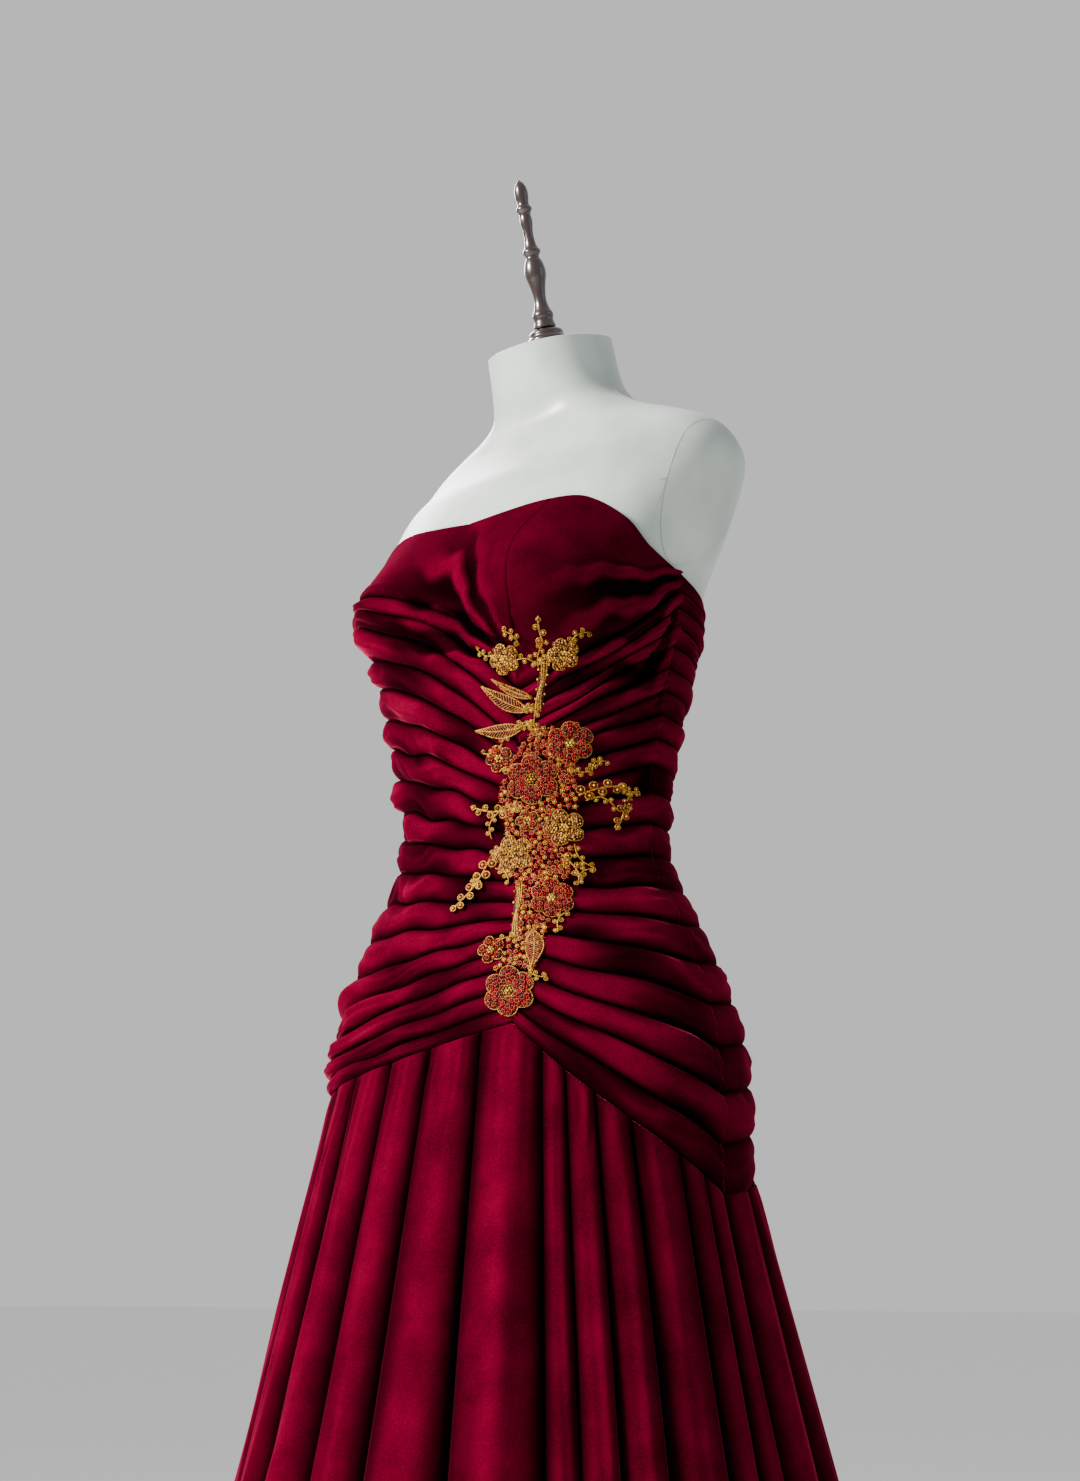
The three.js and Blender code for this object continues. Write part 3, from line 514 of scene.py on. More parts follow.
class Graph:
    """A material whose nodes are added one at a time."""

    def __init__(self, name: str) -> None:
        """Starts an empty material, with the places on the object to read.

        Args:
            name: Its name.
        """
        self.material = bpy.data.materials.new(name)
        self.material.use_nodes = True
        self.tree = self.material.node_tree
        self.tree.nodes.clear()
        self.place = {"Vector": self.add("ShaderNodeTexCoord").outputs["Object"]}

    def add(self, kind: str, settings: Settings | None = None,
            links: dict[str | int, bpy.types.NodeSocket | bpy.types.Node] | None = None) -> bpy.types.Node:
        """Adds a node with its settings and links.

        Args:
            kind: Blender's identifier of the node.
            settings: Properties by name, and input values by name or number.
            links: What feeds inputs, by the input's name or number: a socket, or a node for its
                first output.

        Returns:
            The node.
        """
        node = self.tree.nodes.new(kind)
        for key, value in (settings or {}).items():
            if isinstance(key, int) or key in node.inputs:
                node.inputs[key].default_value = value
            else:
                setattr(node, key, value)
        for key, source in (links or {}).items():
            socket = source.outputs[0] if isinstance(source, bpy.types.Node) else source
            self.tree.links.new(socket, node.inputs[key])
        return node


@dataclass(frozen=True)
class SilkVelvet:
    """Silk velvet with a short crushed pile: dark face-on, pink where it is seen at a slant.

    Its pile is drawn as 1.6 mm spots, coarser than it is, so that the render shows it.
    """

    name: str = "silk_velvet_crimson"
    # deep is the painted shade of the fold valleys, near black; bright is the colour on the crests, where
    # painted light meets high nap and pile tips
    deep: str = "#020001"
    bright: str = "#600220"
    rim: str = "#FF4478"
    pile_mm: float = 1.6
    pile_roughness: float = 0.65
    nap_mm: float = 38.0
    relief_mm: float = 0.25
    painted_shade_power: float = 2.2
    least: float = 0.3
    by_nap: float = 0.4
    by_tips: float = 0.3

    def build(self) -> bpy.types.Material:
        """Makes the material: painted light on the fold crests and painted shade in their valleys.

        The bright colour's share is the crest to the power 2.2, times the sum of 0.3, 0.4 of the
        nap and 0.3 of the tips: nap and pile vary the colour at random, and the crest paints the
        valleys near black. It has sheen but no specular, whose white glare velvet lacks.

        Returns:
            The material.
        """
        graph = Graph(self.name)
        pile_settings = {"Scale": per_metre(self.pile_mm), "Detail": 2.0, "Roughness": self.pile_roughness}
        pile = graph.add(NOISE, pile_settings, graph.place)
        nap = graph.add(NOISE, {"Scale": per_metre(self.nap_mm), "Detail": 3.0}, graph.place)
        # crest is the painted light and shade of the folds: light on crests, shade in valleys
        crest = graph.add("ShaderNodeAttribute", {"attribute_name": "crest"}).outputs["Fac"]
        tips = graph.add(RANGE, held(0.35, 0.68), {"Value": pile})
        lie = graph.add(RANGE, held(0.3, 0.7), {"Value": nap})
        sum_of = {"operation": "MULTIPLY_ADD"}
        lying = graph.add(ARITHMETIC, {**sum_of, 1: self.by_nap, 2: self.least}, {0: lie})
        standing = graph.add(ARITHMETIC, {**sum_of, 1: self.by_tips}, {0: tips, 2: lying})
        painted_fold_light = graph.add(ARITHMETIC, {"operation": "POWER", 1: self.painted_shade_power}, {0: crest})
        share = graph.add(ARITHMETIC, {"operation": "MULTIPLY"}, {0: painted_fold_light, 1: standing})
        blend = graph.add("ShaderNodeMix", colours(self.deep, self.bright), {0: share})
        bump = graph.add("ShaderNodeBump", relief(self.relief_mm), {"Height": pile})
        settings = {
            "Roughness": 0.6,
            "Specular IOR Level": 0.0,
            "Sheen Weight": 0.28,
            "Sheen Roughness": 0.3,
            "Sheen Tint": linear(self.rim),
        }
        feeds = {"Base Color": blend.outputs[COLOUR_OUTPUT], "Normal": bump}
        graph.add(OUTPUT, {}, {"Surface": graph.add(SURFACE, settings, feeds)})
        return graph.material


@dataclass(frozen=True)
class SatinShell:
    """Cotton jersey over moulded papier-mache: cool white and softly shining."""

    name: str = "dress_form_satin_white"
    shade: str = "#93A19B"
    light: str = "#AEBBB5"
    cloud_mm: float = 60.0
    weave_mm: float = 0.9
    relief_mm: float = 0.04

    def build(self) -> bpy.types.Material:
        """Makes the material: a tight smooth cloth with a faint unevenness.

        Returns:
            The material.
        """
        graph = Graph(self.name)
        cloud = graph.add(NOISE, {"Scale": per_metre(self.cloud_mm), "Detail": 2.0}, graph.place)
        weave = graph.add(NOISE, {"Scale": per_metre(self.weave_mm), "Detail": 1.0}, graph.place)
        share = graph.add(RANGE, held(0.3, 0.7), {"Value": cloud})
        blend = graph.add("ShaderNodeMix", colours(self.shade, self.light), {0: share})
        bump = graph.add("ShaderNodeBump", relief(self.relief_mm), {"Height": weave})
        settings = {"Roughness": 0.42, "Coat Weight": 0.18, "Coat Roughness": 0.3, "Sheen Weight": 0.1}
        feeds = {"Base Color": blend.outputs[COLOUR_OUTPUT], "Normal": bump}
        graph.add(OUTPUT, {}, {"Surface": graph.add(SURFACE, settings, feeds)})
        return graph.material


@dataclass(frozen=True)
class LacqueredWood:
    """Turned beech, stained near black and lacquered: deep brown with a sharp shine."""

    name: str = "turned_wood_black_brown_lacquer"
    dark: str = "#0E0705"
    warm: str = "#2C150B"
    grain_per_metre: tuple[float, float, float] = (900.0, 900.0, 60.0)

    def build(self) -> bpy.types.Material:
        """Makes the material: fine grain that runs up the piece under a clear coat.

        Returns:
            The material.
        """
        graph = Graph(self.name)
        stretched = graph.add("ShaderNodeMapping", {"Scale": self.grain_per_metre}, graph.place)
        grain = graph.add(NOISE, {"Scale": 1.0, "Detail": 3.0}, {"Vector": stretched})
        share = graph.add(RANGE, held(0.35, 0.75), {"Value": grain})
        blend = graph.add("ShaderNodeMix", colours(self.dark, self.warm), {0: share})
        settings = {"Roughness": 0.32, "Coat Weight": 0.8, "Coat Roughness": 0.08}
        feeds = {"Base Color": blend.outputs[COLOUR_OUTPUT]}
        graph.add(OUTPUT, {}, {"Surface": graph.add(SURFACE, settings, feeds)})
        return graph.material


@dataclass(frozen=True)
class Thread:
    """Rayon, polyester or metallic thread, wound as cord: a satin shine broken by its twist."""

    name: str
    dark: str
    light: str
    metallic: float = 0.0
    roughness: float = 0.38
    twist_mm: float = 0.9
    gloss: float = 0.15
    relief_mm: float = 0.3

    def build(self) -> bpy.types.Material:
        """Makes the material: bright strands between darker gaps.

        Returns:
            The material.
        """
        graph = Graph(self.name)
        strand = graph.add(NOISE, {"Scale": per_metre(self.twist_mm), "Detail": 1.0}, graph.place)
        share = graph.add(RANGE, held(0.35, 0.62), {"Value": strand})
        blend = graph.add("ShaderNodeMix", colours(self.dark, self.light), {0: share})
        bump = graph.add("ShaderNodeBump", relief(self.relief_mm), {"Height": strand})
        settings = {
            "Roughness": self.roughness,
            "Metallic": self.metallic,
            "Specular IOR Level": self.gloss,
        }
        feeds = {"Base Color": blend.outputs[COLOUR_OUTPUT], "Normal": bump}
        graph.add(OUTPUT, {}, {"Surface": graph.add(SURFACE, settings, feeds)})
        return graph.material


@dataclass(frozen=True)
class GlassBead:
    """Pressed glass seed beads: clear deep colour with a small glint."""

    name: str
    dark: str
    light: str
    patch_mm: float = 3.0

    def build(self) -> bpy.types.Material:
        """Makes the material: beads of slightly different colour, each with a hard shine.

        Returns:
            The material.
        """
        graph = Graph(self.name)
        patch = graph.add(NOISE, {"Scale": per_metre(self.patch_mm), "Detail": 0.0}, graph.place)
        share = graph.add(RANGE, held(0.35, 0.65), {"Value": patch})
        blend = graph.add("ShaderNodeMix", colours(self.dark, self.light), {0: share})
        settings = {"Roughness": 0.2, "Specular IOR Level": 0.14}
        feeds = {"Base Color": blend.outputs[COLOUR_OUTPUT]}
        graph.add(OUTPUT, {}, {"Surface": graph.add(SURFACE, settings, feeds)})
        return graph.material


@dataclass(frozen=True)
class HardFinish:
    """A hard finish of one colour: enamel, lacquered alloy, brushed steel or coil nylon."""

    name: str
    colour: str
    roughness: float
    metallic: float = 0.0
    coat: float = 0.0
    grain_mm: float = 2.0
    shine_range: tuple[float, float] = (0.85, 1.2)

    def build(self) -> bpy.types.Material:
        """Makes the material: an even colour whose shine wanders slightly.

        Returns:
            The material.
        """
        graph = Graph(self.name)
        wander = graph.add(NOISE, {"Scale": per_metre(self.grain_mm), "Detail": 2.0}, graph.place)
        smooth, rough = (self.roughness * share for share in self.shine_range)
        shine = graph.add(RANGE, held(0.3, 0.7, smooth, rough), {"Value": wander})
        settings = {
            "Base Color": linear(self.colour),
            "Metallic": self.metallic,
            "Coat Weight": self.coat,
            "Coat Roughness": 0.12,
        }
        graph.add(OUTPUT, {}, {"Surface": graph.add(SURFACE, settings, {"Roughness": shine})})
        return graph.material


# The figure that cloth and form follow


@dataclass(frozen=True)
class Mound:
    """One breast as a rounded rise on the figure."""

    angle: float = 34.0
    z: float = 1222.0
    rise: float = 34.0
    spread: float = 24.0
    above: float = 52.0
    below: float = 42.0


@dataclass
class Figure:
    """Sections of a general figure: sizes and lean by height, and the dress's edges on it."""

    power: float = 2.25
    bust: Mound = Mound()
    # height: half width, depth to the front, depth to the back, set back, turn, tilt
    rows: Array = field(default_factory=lambda: np.array([
        (640, 178, 118, 128, 0, 0, 0),
        (720, 178, 117, 128, 0, 0, 0),
        (800, 176, 116, 124, 0, 0, 0),
        (860, 172, 113, 121, 0, 0, 0),
        (930, 150, 102, 101, 0, 0, 0),
        (1000, 117, 88, 81, 0, 0, 0),
        (1030, 111, 84, 77, 0, 0, 0),
        (1080, 115, 85, 81, 0, 0, 0),
        (1140, 127, 93, 93, 0, 0, 0),
        (1190, 137, 101, 104, 2, 1, 0),
        (1240, 148, 104, 106, 6, 3, 0),
        (1292, 166, 108, 94, 28, 7, 0),
        (1338, 179, 108, 62, 54, 10, 0),
        (1361, 175, 90, 54, 56, 12, 0),
        (1381, 158, 72, 52, 52, 12, 0),
        (1394, 131, 62, 52, 47, 12, 1),
        (1406, 98, 54, 52, 41, 12, 3),
        (1419, 72, 52, 51, 36, 12, 6),
        (1436, 60, 50, 51, 27, 12, 9),
        (1476, 54, 50, 52, 16, 12, 14),
    ], dtype=float))
    # angle and height of the top edge, the same on both sides
    neckline: Array = field(default_factory=lambda: np.array([
        (0, 1293), (20, 1297), (40, 1302), (50, 1299), (63, 1278), (72, 1256), (86, 1240),
        (110, 1226), (150, 1208), (180, 1204),
    ], dtype=float))
    # angle and height of the corners of the bodice's lower edge
    lower_edge: Array = field(default_factory=lambda: np.array([
        (-86, 816), (26, 868), (86, 736), (180, 790), (274, 816),
    ], dtype=float))
    top_ease: float = 1.4
    ease: float = 2.4
    inset: float = 5.0
    ease_depth: float = 30.0

    def column(self, place: int, z: Array | float) -> Array:
        """One of the figure's sizes at a height."""
        return hermite(self.rows[:, [0, place]], z)

    def radius(self, angle: Array, z: Array) -> Array:
        """Distance from the section's centre: a superellipse with a mound for each breast.

        The ellipse is the sum of the powers of sine over half width and cosine over depth, to
        the power of minus one over the exponent. A mound is a bell curve in angle and height.

        Args:
            angle: Angle of each point.
            z: Height of each point.

        Returns:
            The distance.
        """
        turn = np.radians(angle)
        half = self.column(1, z)
        depth = np.where(np.cos(turn) > 0, self.column(2, z), self.column(3, z))
        across = np.abs(np.sin(turn) / half) ** self.power
        along = np.abs(np.cos(turn) / depth) ** self.power
        wrapped = np.mod(angle + 180.0, 360.0) - 180.0
        from_centre = z - self.bust.z
        tall = np.where(from_centre > 0, self.bust.above, self.bust.below)
        rise = np.zeros(np.broadcast(angle, z).shape)
        for side in (1.0, -1.0):
            aside = (wrapped - side * self.bust.angle) / self.bust.spread
            rise = rise + self.bust.rise * np.exp(-(aside ** 2) - (from_centre / tall) ** 2)
        return (across + along) ** (-1.0 / self.power) + rise

    def placed(self, angle: Array, radius: Array, z: Array) -> Array:
        """Places a point of a section: set back, turned and tilted by its height's own sizes.

        Args:
            angle: Angle of each point.
            radius: Distance from the section's centre.
            z: Height of the section.

        Returns:
            The points.
        """
        turn = -np.radians(self.column(5, z))
        tilt = np.sin(np.radians(self.column(6, z)))
        x = radius * np.sin(np.radians(angle))
        back = -radius * np.cos(np.radians(angle))
        y = self.column(4, z) + back
        height = z + back * tilt
        return np.stack(np.broadcast_arrays(
            x * np.cos(turn) - y * np.sin(turn), x * np.sin(turn) + y * np.cos(turn), height
        ), axis=-1)

    def on(self, angle: Array, z: Array, out: Array | float) -> Array:
        """Point that stands off the figure by a distance."""
        return self.placed(angle, self.radius(angle, z) + out, z)

    def top(self, angle: Array) -> Array:
        """Height of the dress's top edge."""
        return hermite(self.neckline, np.abs(np.mod(angle + 180.0, 360.0) - 180.0))

    def foot(self, angle: Array) -> Array:
        """Height of the bodice's lower edge, straight in angle between its corners."""
        return np.interp(angle, self.lower_edge[:, 0], self.lower_edge[:, 1])

    def below_top(self, angle: Array, z: Array) -> Array:
        """From 0 at the top edge to 1 well below it."""
        return np.clip((self.top(angle) - z) / self.ease_depth, 0.0, 1.0)

    def bodice_ease(self, angle: Array, z: Array) -> Array:
        """How far the bodice's inner face stands off the figure."""
        return mix(self.top_ease, self.ease, self.below_top(angle, z))

    def away_from_spray(self, angle: Array) -> Array:
        """From 0 at the gathering line to 1 well beside the spray."""
        return smoothstep(np.abs(angle - GATHER_ANGLE), 30.0, 50.0)

    def pressed(self, angle: Array) -> Array:
        """Folds are flatter where they run into the gathering line."""
        return mix(0.7, 1.0, smoothstep(np.abs(angle - GATHER_ANGLE), 0.0, 25.0))


# The ruched bodice


class Side(Enum):
    """The wearer's side, by the sign of its angles."""

    LEFT = 1
    RIGHT = -1

    @property
    def word(self) -> str:
        """The side's name as the part's nodes write it."""
        return self.name.lower()


# height at the gathering line, height at the side seam, share of the neckline's curve, bow, rise
RIGHT_FOLDS = np.array([
    (1300, 1240, 1, 0, 0),
    (1262, 1238, 0.7, 5, 0),
    (1210, 1236, 0.3, 15, 2.5),
    (1168, 1232, 0.1, 28, 5.5),
    (1140, 1224, 0, 36, 6),
    (1116, 1212, 0, 36, 6.5),
    (1097, 1198, 0, 25, 6),
    (1083, 1182, 0, 14, 6.5),
    (1068, 1156, 0, 8, 6),
    (1055, 1128, 0, 4, 6),
    (1040, 1100, 0, 2, 6.5),
    (1022, 1071, 0, 0, 5),
    (1003, 1045, 0, 0, 7),
    (982, 1016, 0, 0, 6),
    (966, 983, 0, 0, 5),
    (953, 948, 0, 0, 5.5),
    (941, 911, 0, 0, 7.5),
    (929, 880, 0, 0, 8),
    (915, 859, 0, 0, 7.5),
    (898, 842, 0, 0, 8),
    (882, 828, 0, 0, 6),
    (868, 816, 0, 0, 0),
], dtype=float)
LEFT_FOLDS = np.array([
    (1300, 1240, 1, 0, 0),
    (1262, 1238, 0.7, 0, 0),
    (1210, 1236, 0.3, 0, 0),
    (1162, 1233, 0.1, -6, 3),
    (1138, 1226, 0, -10, 6),
    (1126, 1212, 0, -10, 6.5),
    (1116, 1197, 0, -8, 6),
    (1106, 1181, 0, -6, 5),
    (1096, 1163, 0, -4, 6),
    (1085, 1144, 0, -2, 5),
    (1073, 1125, 0, 0, 6),
    (1060, 1105, 0, 0, 5.5),
    (1046, 1084, 0, 0, 6),
    (1030, 1061, 0, 0, 7),
    (1013, 1036, 0, 0, 6),
    (995, 1009, 0, 0, 5),
    (977, 981, 0, 0, 6),
    (960, 951, 0, 0, 8),
    (944, 919, 0, 0, 9),
    (928, 886, 0, 0, 8),
    (912, 852, 0, 0, 10),
    (897, 816, 0, 0, 9),
    (882, 776, 0, 0, 8),
    (868, 736, 0, 0, 0),
], dtype=float)


@dataclass(frozen=True)
class Fan:
    """Pleats that fan over a cup, by the angle and height of their root."""

    angle: float
    z: float
    pleats: float
    slant: float = 30.0
    mm_per_degree: float = 2.2


FANS = {Side.RIGHT: Fan(25.0, 1160.0, 16.0), Side.LEFT: Fan(98.0, 1246.0, 21.0)}
# height and angle of the gathering line
GATHER_ROWS = np.array([(868, 26), (1150, 26), (1210, 26), (1262, 28), (1300, 38)], dtype=float)


@dataclass
class Bodice:
    """Four ruched velvet panels over the figure, each a wall of its own."""

    figure: Figure
    velvet: bpy.types.Material
    front_crest: float = 3.2
    seam_rise: float = 0.7
    back_rise: float = 0.15
    fan_rise: float = 4.2
    # painted light share, 0 to 1, of plain cloth and of the back panels away from their folds
    plain_painted_light: float = 0.7
    back_painted_light: float = 0.6
    front_wander: float = 3.0
    back_wander: float = 2.4
    group_swell: float = 1.2
    group_unevenness: float = 0.35
    drift: float = 0.24
    crease_share: float = 0.16
    crimp_rise: float = 0.8
    edge_roll: float = 0.6
    rows_in_fold: int = 12
    rows_in_plain: int = 16
    front_columns: int = 104
    back_columns: int = 56
    flats: dict[str, tuple[float, float]] = field(default_factory=lambda: {
        "front_right": (0.27, 0.50),
        "front_left": (0.16, 0.56),
        "back_right": (0.22, 0.46),
        "back_left": (0.22, 0.50),
    })
    thin_at_top: float = 0.6

    def rows(self, folds: Array) -> tuple[Array, Array]:
        """Fold and place in it of each row of points, from the top edge down.

        Args:
            folds: The panel's table of folds.

        Returns:
            Number of each row's fold, and the place in it from 0 to 1.
        """
        counts = np.where(folds[:-1, 4] > 0, self.rows_in_fold, self.rows_in_plain)
        fold = np.repeat(np.arange(len(counts)), counts)
        part = np.concatenate([np.arange(n) / n for n in counts])
        return np.append(fold, len(counts) - 1)[:, None], np.append(part, 1.0)[:, None]

    def folded(self, folds: Array, fold: Array, part: Array, angle: Array, seed: int) -> tuple[Array, Array]:
        """Height of each point in its fold, and the part of it that is small creases.

        The fold rises steeply and rolls over downwards: the sine of half a turn times the place
        to the power 0.85, to the power 0.5. Its place and its height wander along the fold.

        Args:
            folds: The panel's table of folds.
            fold: Number of the fold of each row.
            part: Place in the fold of each row, 0 to 1.
            angle: Angle of each point.
            seed: Seed of the panel's unevenness.

        Returns:
            Share of the full height, and the height of the creases in millimetres.
        """
        rise = folds[fold, 4]
        down = fold + part
        drift = self.drift * np.sin(math.pi * part) * soft_noise(seed, angle, down, 30.0, 1.9)
        moved = np.clip(part + drift, 0.0, 1.0)
        profile = np.sin(math.pi * moved ** 0.85) ** 0.5
        own = soft_noise(seed + 1, angle, fold * 1.7, 52.0, 1.3)
        share = profile * np.clip(0.9 + 0.6 * own, 0.15, 1.35)
        ripple = np.sin(2.0 * math.pi * (2.0 * moved + soft_noise(seed + 2, angle, down, 45.0, 2.3)))
        creases = self.crease_share * rise * ripple * np.sin(math.pi * part)
        return share, creases

    def crimps(self, along: Array, fold: Array, part: Array, reach: float) -> Array:
        """Short crimps that run out of a seam and fade within a share of the panel's width."""
        wave = np.sin(2.0 * math.pi * (3.0 * part + 0.4 * fold))
        return self.crimp_rise * wave * np.sin(math.pi * part) * np.exp(-along / reach)

    def cup_fan(self, side: Side, angle: Array, z: Array) -> tuple[Array, Array]:
        """Pleats that fan over a cup, the right from the gathering line and the left from the side.

        A pleat is the raised cosine of the slant times their number, and the fan fades near its
        root, far from it and past its outer pleats.

        Args:
            side: The wearer's side.
            angle: Angle of each point.
            z: Height of each point.

        Returns:
            Share of a pleat's full height, and the strength of the fan there.
        """
        fan = FANS[side]
        aside = (fan.angle - angle) * fan.mm_per_degree
        lift = (z - fan.z) * -side.value
        reach = np.hypot(aside, lift)
        slant = np.degrees(np.arctan2(lift, aside)) + 6.0 * soft_noise(61, reach, aside, 60.0, 60.0)
        window = smoothstep(reach, 6.0, 34.0) * (1.0 - smoothstep(reach, 80.0, 160.0))
        window = window * smoothstep(slant, 4.0, 14.0) * (1.0 - smoothstep(slant, 62.0, 84.0))
        wave = np.clip(0.25 + np.cos(np.radians(slant - fan.slant) * fan.pleats), 0.0, 1.0) ** 0.8
        return wave, window

    def front(self, side: Side, folds: Array, seed: int) -> Shape:
        """A front panel: folds run from the gathering line to a side seam.

        A point's height runs straight from the fold's height at the gathering line to that at
        the seam, plus the neckline's arch, a bow by the sine of half a turn, and a soft wander.
        It stands out by the ease, the wall, the fold's swell, its small creases and the fan.

        Args:
            side: The wearer's side.
            folds: The panel's table of folds.
            seed: Seed of its unevenness.

        Returns:
            The panel as a closed wall.
        """
        figure, sign = self.figure, side.value
        fold, part = self.rows(folds)
        share = np.linspace(0.0, 1.0, self.front_columns + 1)[None, :]
        line = mix(folds[fold, :4], folds[fold + 1, :4], part[..., None])[:, 0, :]
        centre, seam, crown, bow = (line[:, k:k + 1] for k in range(4))
        gather = hermite(GATHER_ROWS, centre)
        start = gather + sign * gap_angle(SEAM_GAP / 2, 90.0)
        end = sign * (SEAM_ANGLE - gap_angle(SEAM_GAP / 2))
        angle = mix(start, end, share)
        along = (angle - gather) / (sign * SEAM_ANGLE - gather)
        arch = figure.top(angle) - mix(figure.top(gather), figure.top(SEAM_ANGLE), along)
        z = mix(centre, seam, along) + crown * arch + bow * np.sin(math.pi * along)
        inside = np.sin(math.pi * (fold + part) / (len(folds) - 1)) ** 0.4
        wander = self.front_wander * soft_noise(seed + 5, angle, fold + part, 30.0, 2.7)
        z = z + wander * np.sin(math.pi * along) * inside
        rise = folds[fold, 4]
        height, creases = self.folded(folds, fold, part, angle, seed)
        away = figure.away_from_spray(angle)
        groups = 1.0 + self.group_unevenness * soft_noise(seed + 7, angle, fold + part, 48.0, 2.4)
        swell = mix(np.minimum(rise, self.front_crest), self.group_swell * groups * rise, away)
        swell = swell * figure.pressed(angle) * height
        swell = mix(swell, self.seam_rise * rise * height, smoothstep(along, 0.8, 1.0))
        small = creases * mix(0.35, 1.0, away)
        crimps = self.crimps(along, fold, part, 0.07) + self.crimps(1.0 - along, fold, part, 0.06)
        small = small + np.where(rise > 0, crimps, 0.0)
        wave, window = self.cup_fan(side, angle, z)
        outer = figure.bodice_ease(angle, z) + CLOTH + swell + small + self.fan_rise * wave * window
        inner = np.maximum(outer - CLOTH, self.thin_at_top)
        first = (rise > 0) & (folds[np.maximum(fold - 1, 0), 4] == 0)
        # painted light on the fold crests and small creases, painted shade in the valleys and between the
        # fan's pleats
        lit = np.clip(height + small * 0.05, 0.0, 1.0)
        lit = np.where(first, mix(self.plain_painted_light, lit, smoothstep(part, 0.1, 0.8)), lit)
        crest = np.where(rise > 0, lit, self.plain_painted_light)
        crest = np.clip(crest + 0.9 * window * (wave - 0.6), 0.0, 1.0)
        return cloth_shell(figure.on(angle, z, outer), figure.on(angle, z, inner), crest, self.edge_roll)

    def back(self, side: Side, folds: Array, seed: int, zip_half: float) -> Shape:
        """A back panel: it carries the side seam's folds round to the zip, where they die away.

        A point's height runs straight from the seam's to the same share of the back's height,
        plus the neckline's arch and a soft wander. Its fold fades with the way to the zip.

        Args:
            side: The wearer's side.
            folds: The table of folds of the front panel that it meets.
            seed: Seed of its unevenness, the front's own.
            zip_half: Half the zip's width.

        Returns:
            The panel as a closed wall.
        """
        figure, sign = self.figure, side.value
        fold, part = self.rows(folds)
        share = np.linspace(0.0, 1.0, self.back_columns + 1)[None, :]
        line = mix(folds[fold, 1:3], folds[fold + 1, 1:3], part[..., None])[:, 0, :]
        seam, crown = line[:, :1], line[:, 1:2]
        start = sign * (SEAM_ANGLE + gap_angle(SEAM_GAP / 2))
        end = sign * (BACK_ANGLE - gap_angle(zip_half + SEAM_GAP, 84.0))
        angle = mix(start, end, share)
        along = (np.abs(angle) - SEAM_ANGLE) / (BACK_ANGLE - SEAM_ANGLE)
        down = (folds[0, 1] - seam) / (folds[0, 1] - folds[-1, 1])
        at_back = mix(figure.top(BACK_ANGLE), figure.foot(BACK_ANGLE), down)
        arch = figure.top(angle) - mix(figure.top(SEAM_ANGLE), figure.top(BACK_ANGLE), along)
        z = mix(seam, at_back, along) + crown * arch
        inside = np.sin(math.pi * (fold + part) / (len(folds) - 1)) ** 0.4
        wander = self.back_wander * soft_noise(seed + 5, angle, fold + part, 24.0, 2.3)
        z = z + wander * np.sin(math.pi * along) * inside
        rise = folds[fold, 4]
        height, creases = self.folded(folds, fold, part, angle, seed)
        fading = mix(self.seam_rise, self.back_rise, share)
        small = creases * fading + np.where(rise > 0, self.crimps(along, fold, part, 0.08), 0.0)
        outer = figure.bodice_ease(angle, z) + CLOTH + rise * fading * height + small
        inner = np.maximum(outer - CLOTH, self.thin_at_top)
        # painted light on the folds' crests and painted shade in their valleys, fading to the flat back's
        # share towards the zip
        crest = np.clip(mix(self.back_painted_light, height, fading), 0.0, 1.0)
        crest = np.where(rise > 0, crest, self.back_painted_light)
        return cloth_shell(figure.on(angle, z, outer), figure.on(angle, z, inner), crest, self.edge_roll)

    def dress(self, zip_half: float) -> None:
        """Builds the four panels of velvet.

        Args:
            zip_half: Half the zip's width.
        """
        for side, folds, seed in ((Side.RIGHT, RIGHT_FOLDS, 11), (Side.LEFT, LEFT_FOLDS, 31)):
            for word, shape in (
                ("front", self.front(side, folds, seed)),
                ("back", self.back(side, folds, seed, zip_half)),
            ):
                node = f"{word}_{side.word}_ruched"
                piece = shape.build(f"velvet_{node}", [self.velvet])
                finish(piece, "root", "velvet", node)
                LOG.info("bodice: %s", node)


def finish(piece: bpy.types.Object, body: str, slot: str, *nodes: str) -> None:
    """Lets a piece ride on a body and stand for CAD nodes.

    Args:
        piece: The piece.
        body: The body that it rides on.
        slot: Its material slot, which is not used.
        nodes: CAD nodes that it replaces.
    """
    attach(piece, body)
    if nodes:
        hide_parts(*nodes)


# The gathered skirt


